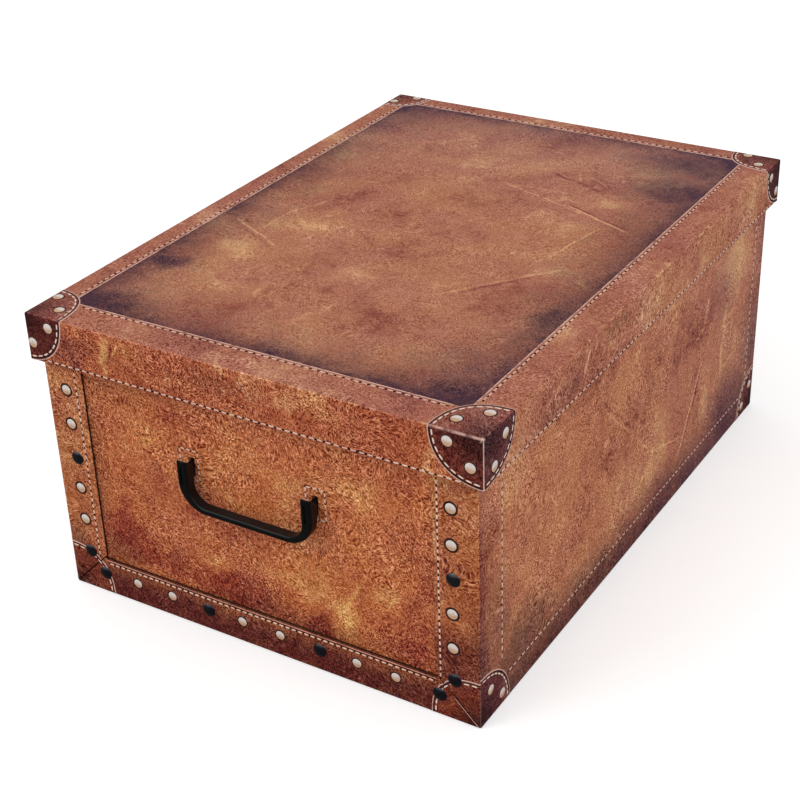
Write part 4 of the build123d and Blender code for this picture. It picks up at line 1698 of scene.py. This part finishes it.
def plastic_finish(name, roughness, specular, shade, dust):
    """Black plastic in a shade, with haze and scratches, and a pale grey painted on as a
    highlight where it faces up; dust is the share of that highlight.
    """
    material, r, shader = new_finish(name, roughness, specular)
    place = r.place()
    haze = r.noise(place, 22.0, 4.0, 0.6)
    pores = r.noise(place, 0.8, 2.0)
    scratch = r.noise(r.vector("MULTIPLY", place, (0.2, 1.0, 1.0)), 0.7, 3.0, 0.7)
    tone = r.sway(haze, pores, 0.5)
    hazy = tint(*(channel + HAZE_STEP for channel in shade))
    colour = r.mix(r.ease(tone, 0.3, 0.8), tint(*shade), hazy)
    level = r.normal()[2]
    # painted highlight: pale grey where the plastic faces up, like light from overhead
    painted_highlight = r.times(r.ease(r.sway(level, haze, 0.3), 0.35, 0.75), dust)
    colour = r.mix(painted_highlight, colour, tint(*HIGHLIGHT_SHADE))
    uneven = r.sway(roughness, haze, 0.2)
    uneven = r.calc("MULTIPLY_ADD", r.ease(scratch, 0.58, 0.7), 0.12, uneven)
    wire(r, shader, colour, uneven, pores, 0.02)
    return material


# the last number is the share of painted highlight: almost none on the handles
handle_plastic = plastic_finish("handle_plastic", 0.36, 0.22, (7, 7, 8), 0.01)
rivet_plastic = plastic_finish("rivet_plastic", 0.15, 0.55, (6, 7, 14), 0.34)
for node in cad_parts:
    if "handle" in node:
        dress(node, handle_plastic)
    elif "rivet" in node:
        dress(node, rivet_plastic)
print("dressed the handles and", sum("rivet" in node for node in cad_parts), "rivet parts")

# %% [markdown]
# ## Floor, light and camera
#
# The box stands on a white floor in a white room. The room's light comes from all
# sides, which shows printed colours as they are, and two large soft lamps give the faces
# a little more shape. In reflections the floor and the horizon are dim, or their haze
# would grey the print, and only the room overhead is bright. Seen by the camera, the
# floor is lifted to white, but the box's soft shadow on it stays.


# %% Floor
FLOOR_REACH = 30.0  # metres
FLOOR_LEVEL = -0.0002
FLOOR_PALE, FLOOR_PALER, FLOOR_MIRRORED = (228,) * 3, (231,) * 3, (92,) * 3
FLOOR_LIFT = 0.42  # light that only the camera sees


def floor_finish():
    """Pale matt floor. Camera rays see it a little brighter, so that it reaches white,
    and reflections see it dimmer, like the room."""
    material, r, shader = new_finish("studio_floor", 0.9, specular=0.5)
    place = r.put("ShaderNodeTexCoord", out="Object")
    faint = r.put("ShaderNodeTexNoise", {"Vector": place, "Scale": 6.0, "Detail": 3.0})
    colour = r.mix(faint, tint(*FLOOR_PALE), tint(*FLOOR_PALER))
    mirrored = r.put("ShaderNodeLightPath", out="Is Glossy Ray")
    wire(r, shader, r.mix(mirrored, colour, tint(*FLOOR_MIRRORED)))
    seen = r.put("ShaderNodeLightPath", out="Is Camera Ray")
    shader.inputs["Emission Color"].default_value = (1, 1, 1, 1)
    r.tree.links.new(r.times(seen, FLOOR_LIFT), shader.inputs["Emission Strength"])
    return material


floor_mesh = bpy.data.meshes.new("studio_floor")
signs = [(-1, -1), (1, -1), (1, 1), (-1, 1)]
floor_corners = [(x * FLOOR_REACH, y * FLOOR_REACH, FLOOR_LEVEL) for x, y in signs]
floor_mesh.from_pydata(floor_corners, [], [(0, 1, 2, 3)])
floor_mesh.materials.append(floor_finish())
floor = bpy.data.objects.new("studio_floor", floor_mesh)
bpy.context.scene.collection.objects.link(floor)
print("the floor reaches", FLOOR_REACH, "m")


# %% Room light and lamps
WHITE = 1.0  # how bright the room is to the camera
AIM = (0, 0, 0.1)  # both lamps face the middle of the box


def room(strength, horizon, overhead):
    """White for the camera and less bright as a light. In reflections it is dim at the
    horizon and brighter overhead, which shapes whatever is round and glossy."""
    world = bpy.data.worlds.new("white_room")
    bpy.context.scene.world = world
    world.use_nodes = True
    r = Recipe(world.node_tree)
    background = world.node_tree.nodes["Background"]
    background.inputs["Color"].default_value = (1, 1, 1, 1)
    path = world.node_tree.nodes.new("ShaderNodeLightPath").outputs
    height = r.split(r.put("ShaderNodeTexCoord", out="Generated"))[2]
    mirrored = r.ease(height, 0.3, 0.95, horizon, overhead)
    level = r.blend(path["Is Glossy Ray"], strength, mirrored)
    level = r.blend(path["Is Camera Ray"], level, WHITE)
    world.node_tree.links.new(level, background.inputs["Strength"])


def lamp(name, place, size, power):
    """A square soft lamp that faces the box. Its place and size are in metres."""
    light = bpy.data.lights.new(name, "AREA")
    light.shape, light.size, light.energy = "SQUARE", size, power
    holder = bpy.data.objects.new(name, light)
    holder.location = place
    beam = Vector(AIM) - Vector(place)
    holder.rotation_euler = beam.to_track_quat("-Z", "Y").to_euler()
    bpy.context.scene.collection.objects.link(holder)


room(strength=0.76, horizon=0.1, overhead=1.0)
lamp("key", (-1.3, -2.0, 2.4), size=1.6, power=26.0)
lamp("fill", (2.4, -0.6, 1.4), size=1.8, power=12.0)
print("lit by the room and", len(bpy.data.lights), "lamps")

# %% Camera
CAMERA_PLACE = (0.5905, -0.9931, 0.7383)
CAMERA_RIGHT = Vector((0.8549, 0.5178, -0.0311))
CAMERA_LOOK = Vector((-0.4636, 0.7358, -0.4937))
LENS, SENSOR = 74.23, 36.0  # millimetres
camera_data = bpy.data.cameras.new("camera")
camera_data.lens, camera_data.sensor_width = LENS, SENSOR
camera_data.clip_start, camera_data.clip_end = 0.05, 100.0
camera = bpy.data.objects.new("camera", camera_data)
back = -CAMERA_LOOK.normalized()
side = (CAMERA_RIGHT - CAMERA_RIGHT.dot(back) * back).normalized()
camera.matrix_world = Matrix.Translation(CAMERA_PLACE) @ Matrix(
    (side, back.cross(side), back)
).transposed().to_4x4()
bpy.context.scene.collection.objects.link(camera)
bpy.context.scene.camera = camera
bpy.context.scene.view_settings.view_transform = "Standard"
print("the camera stands", round(Vector(CAMERA_PLACE).length, 2), "m away")
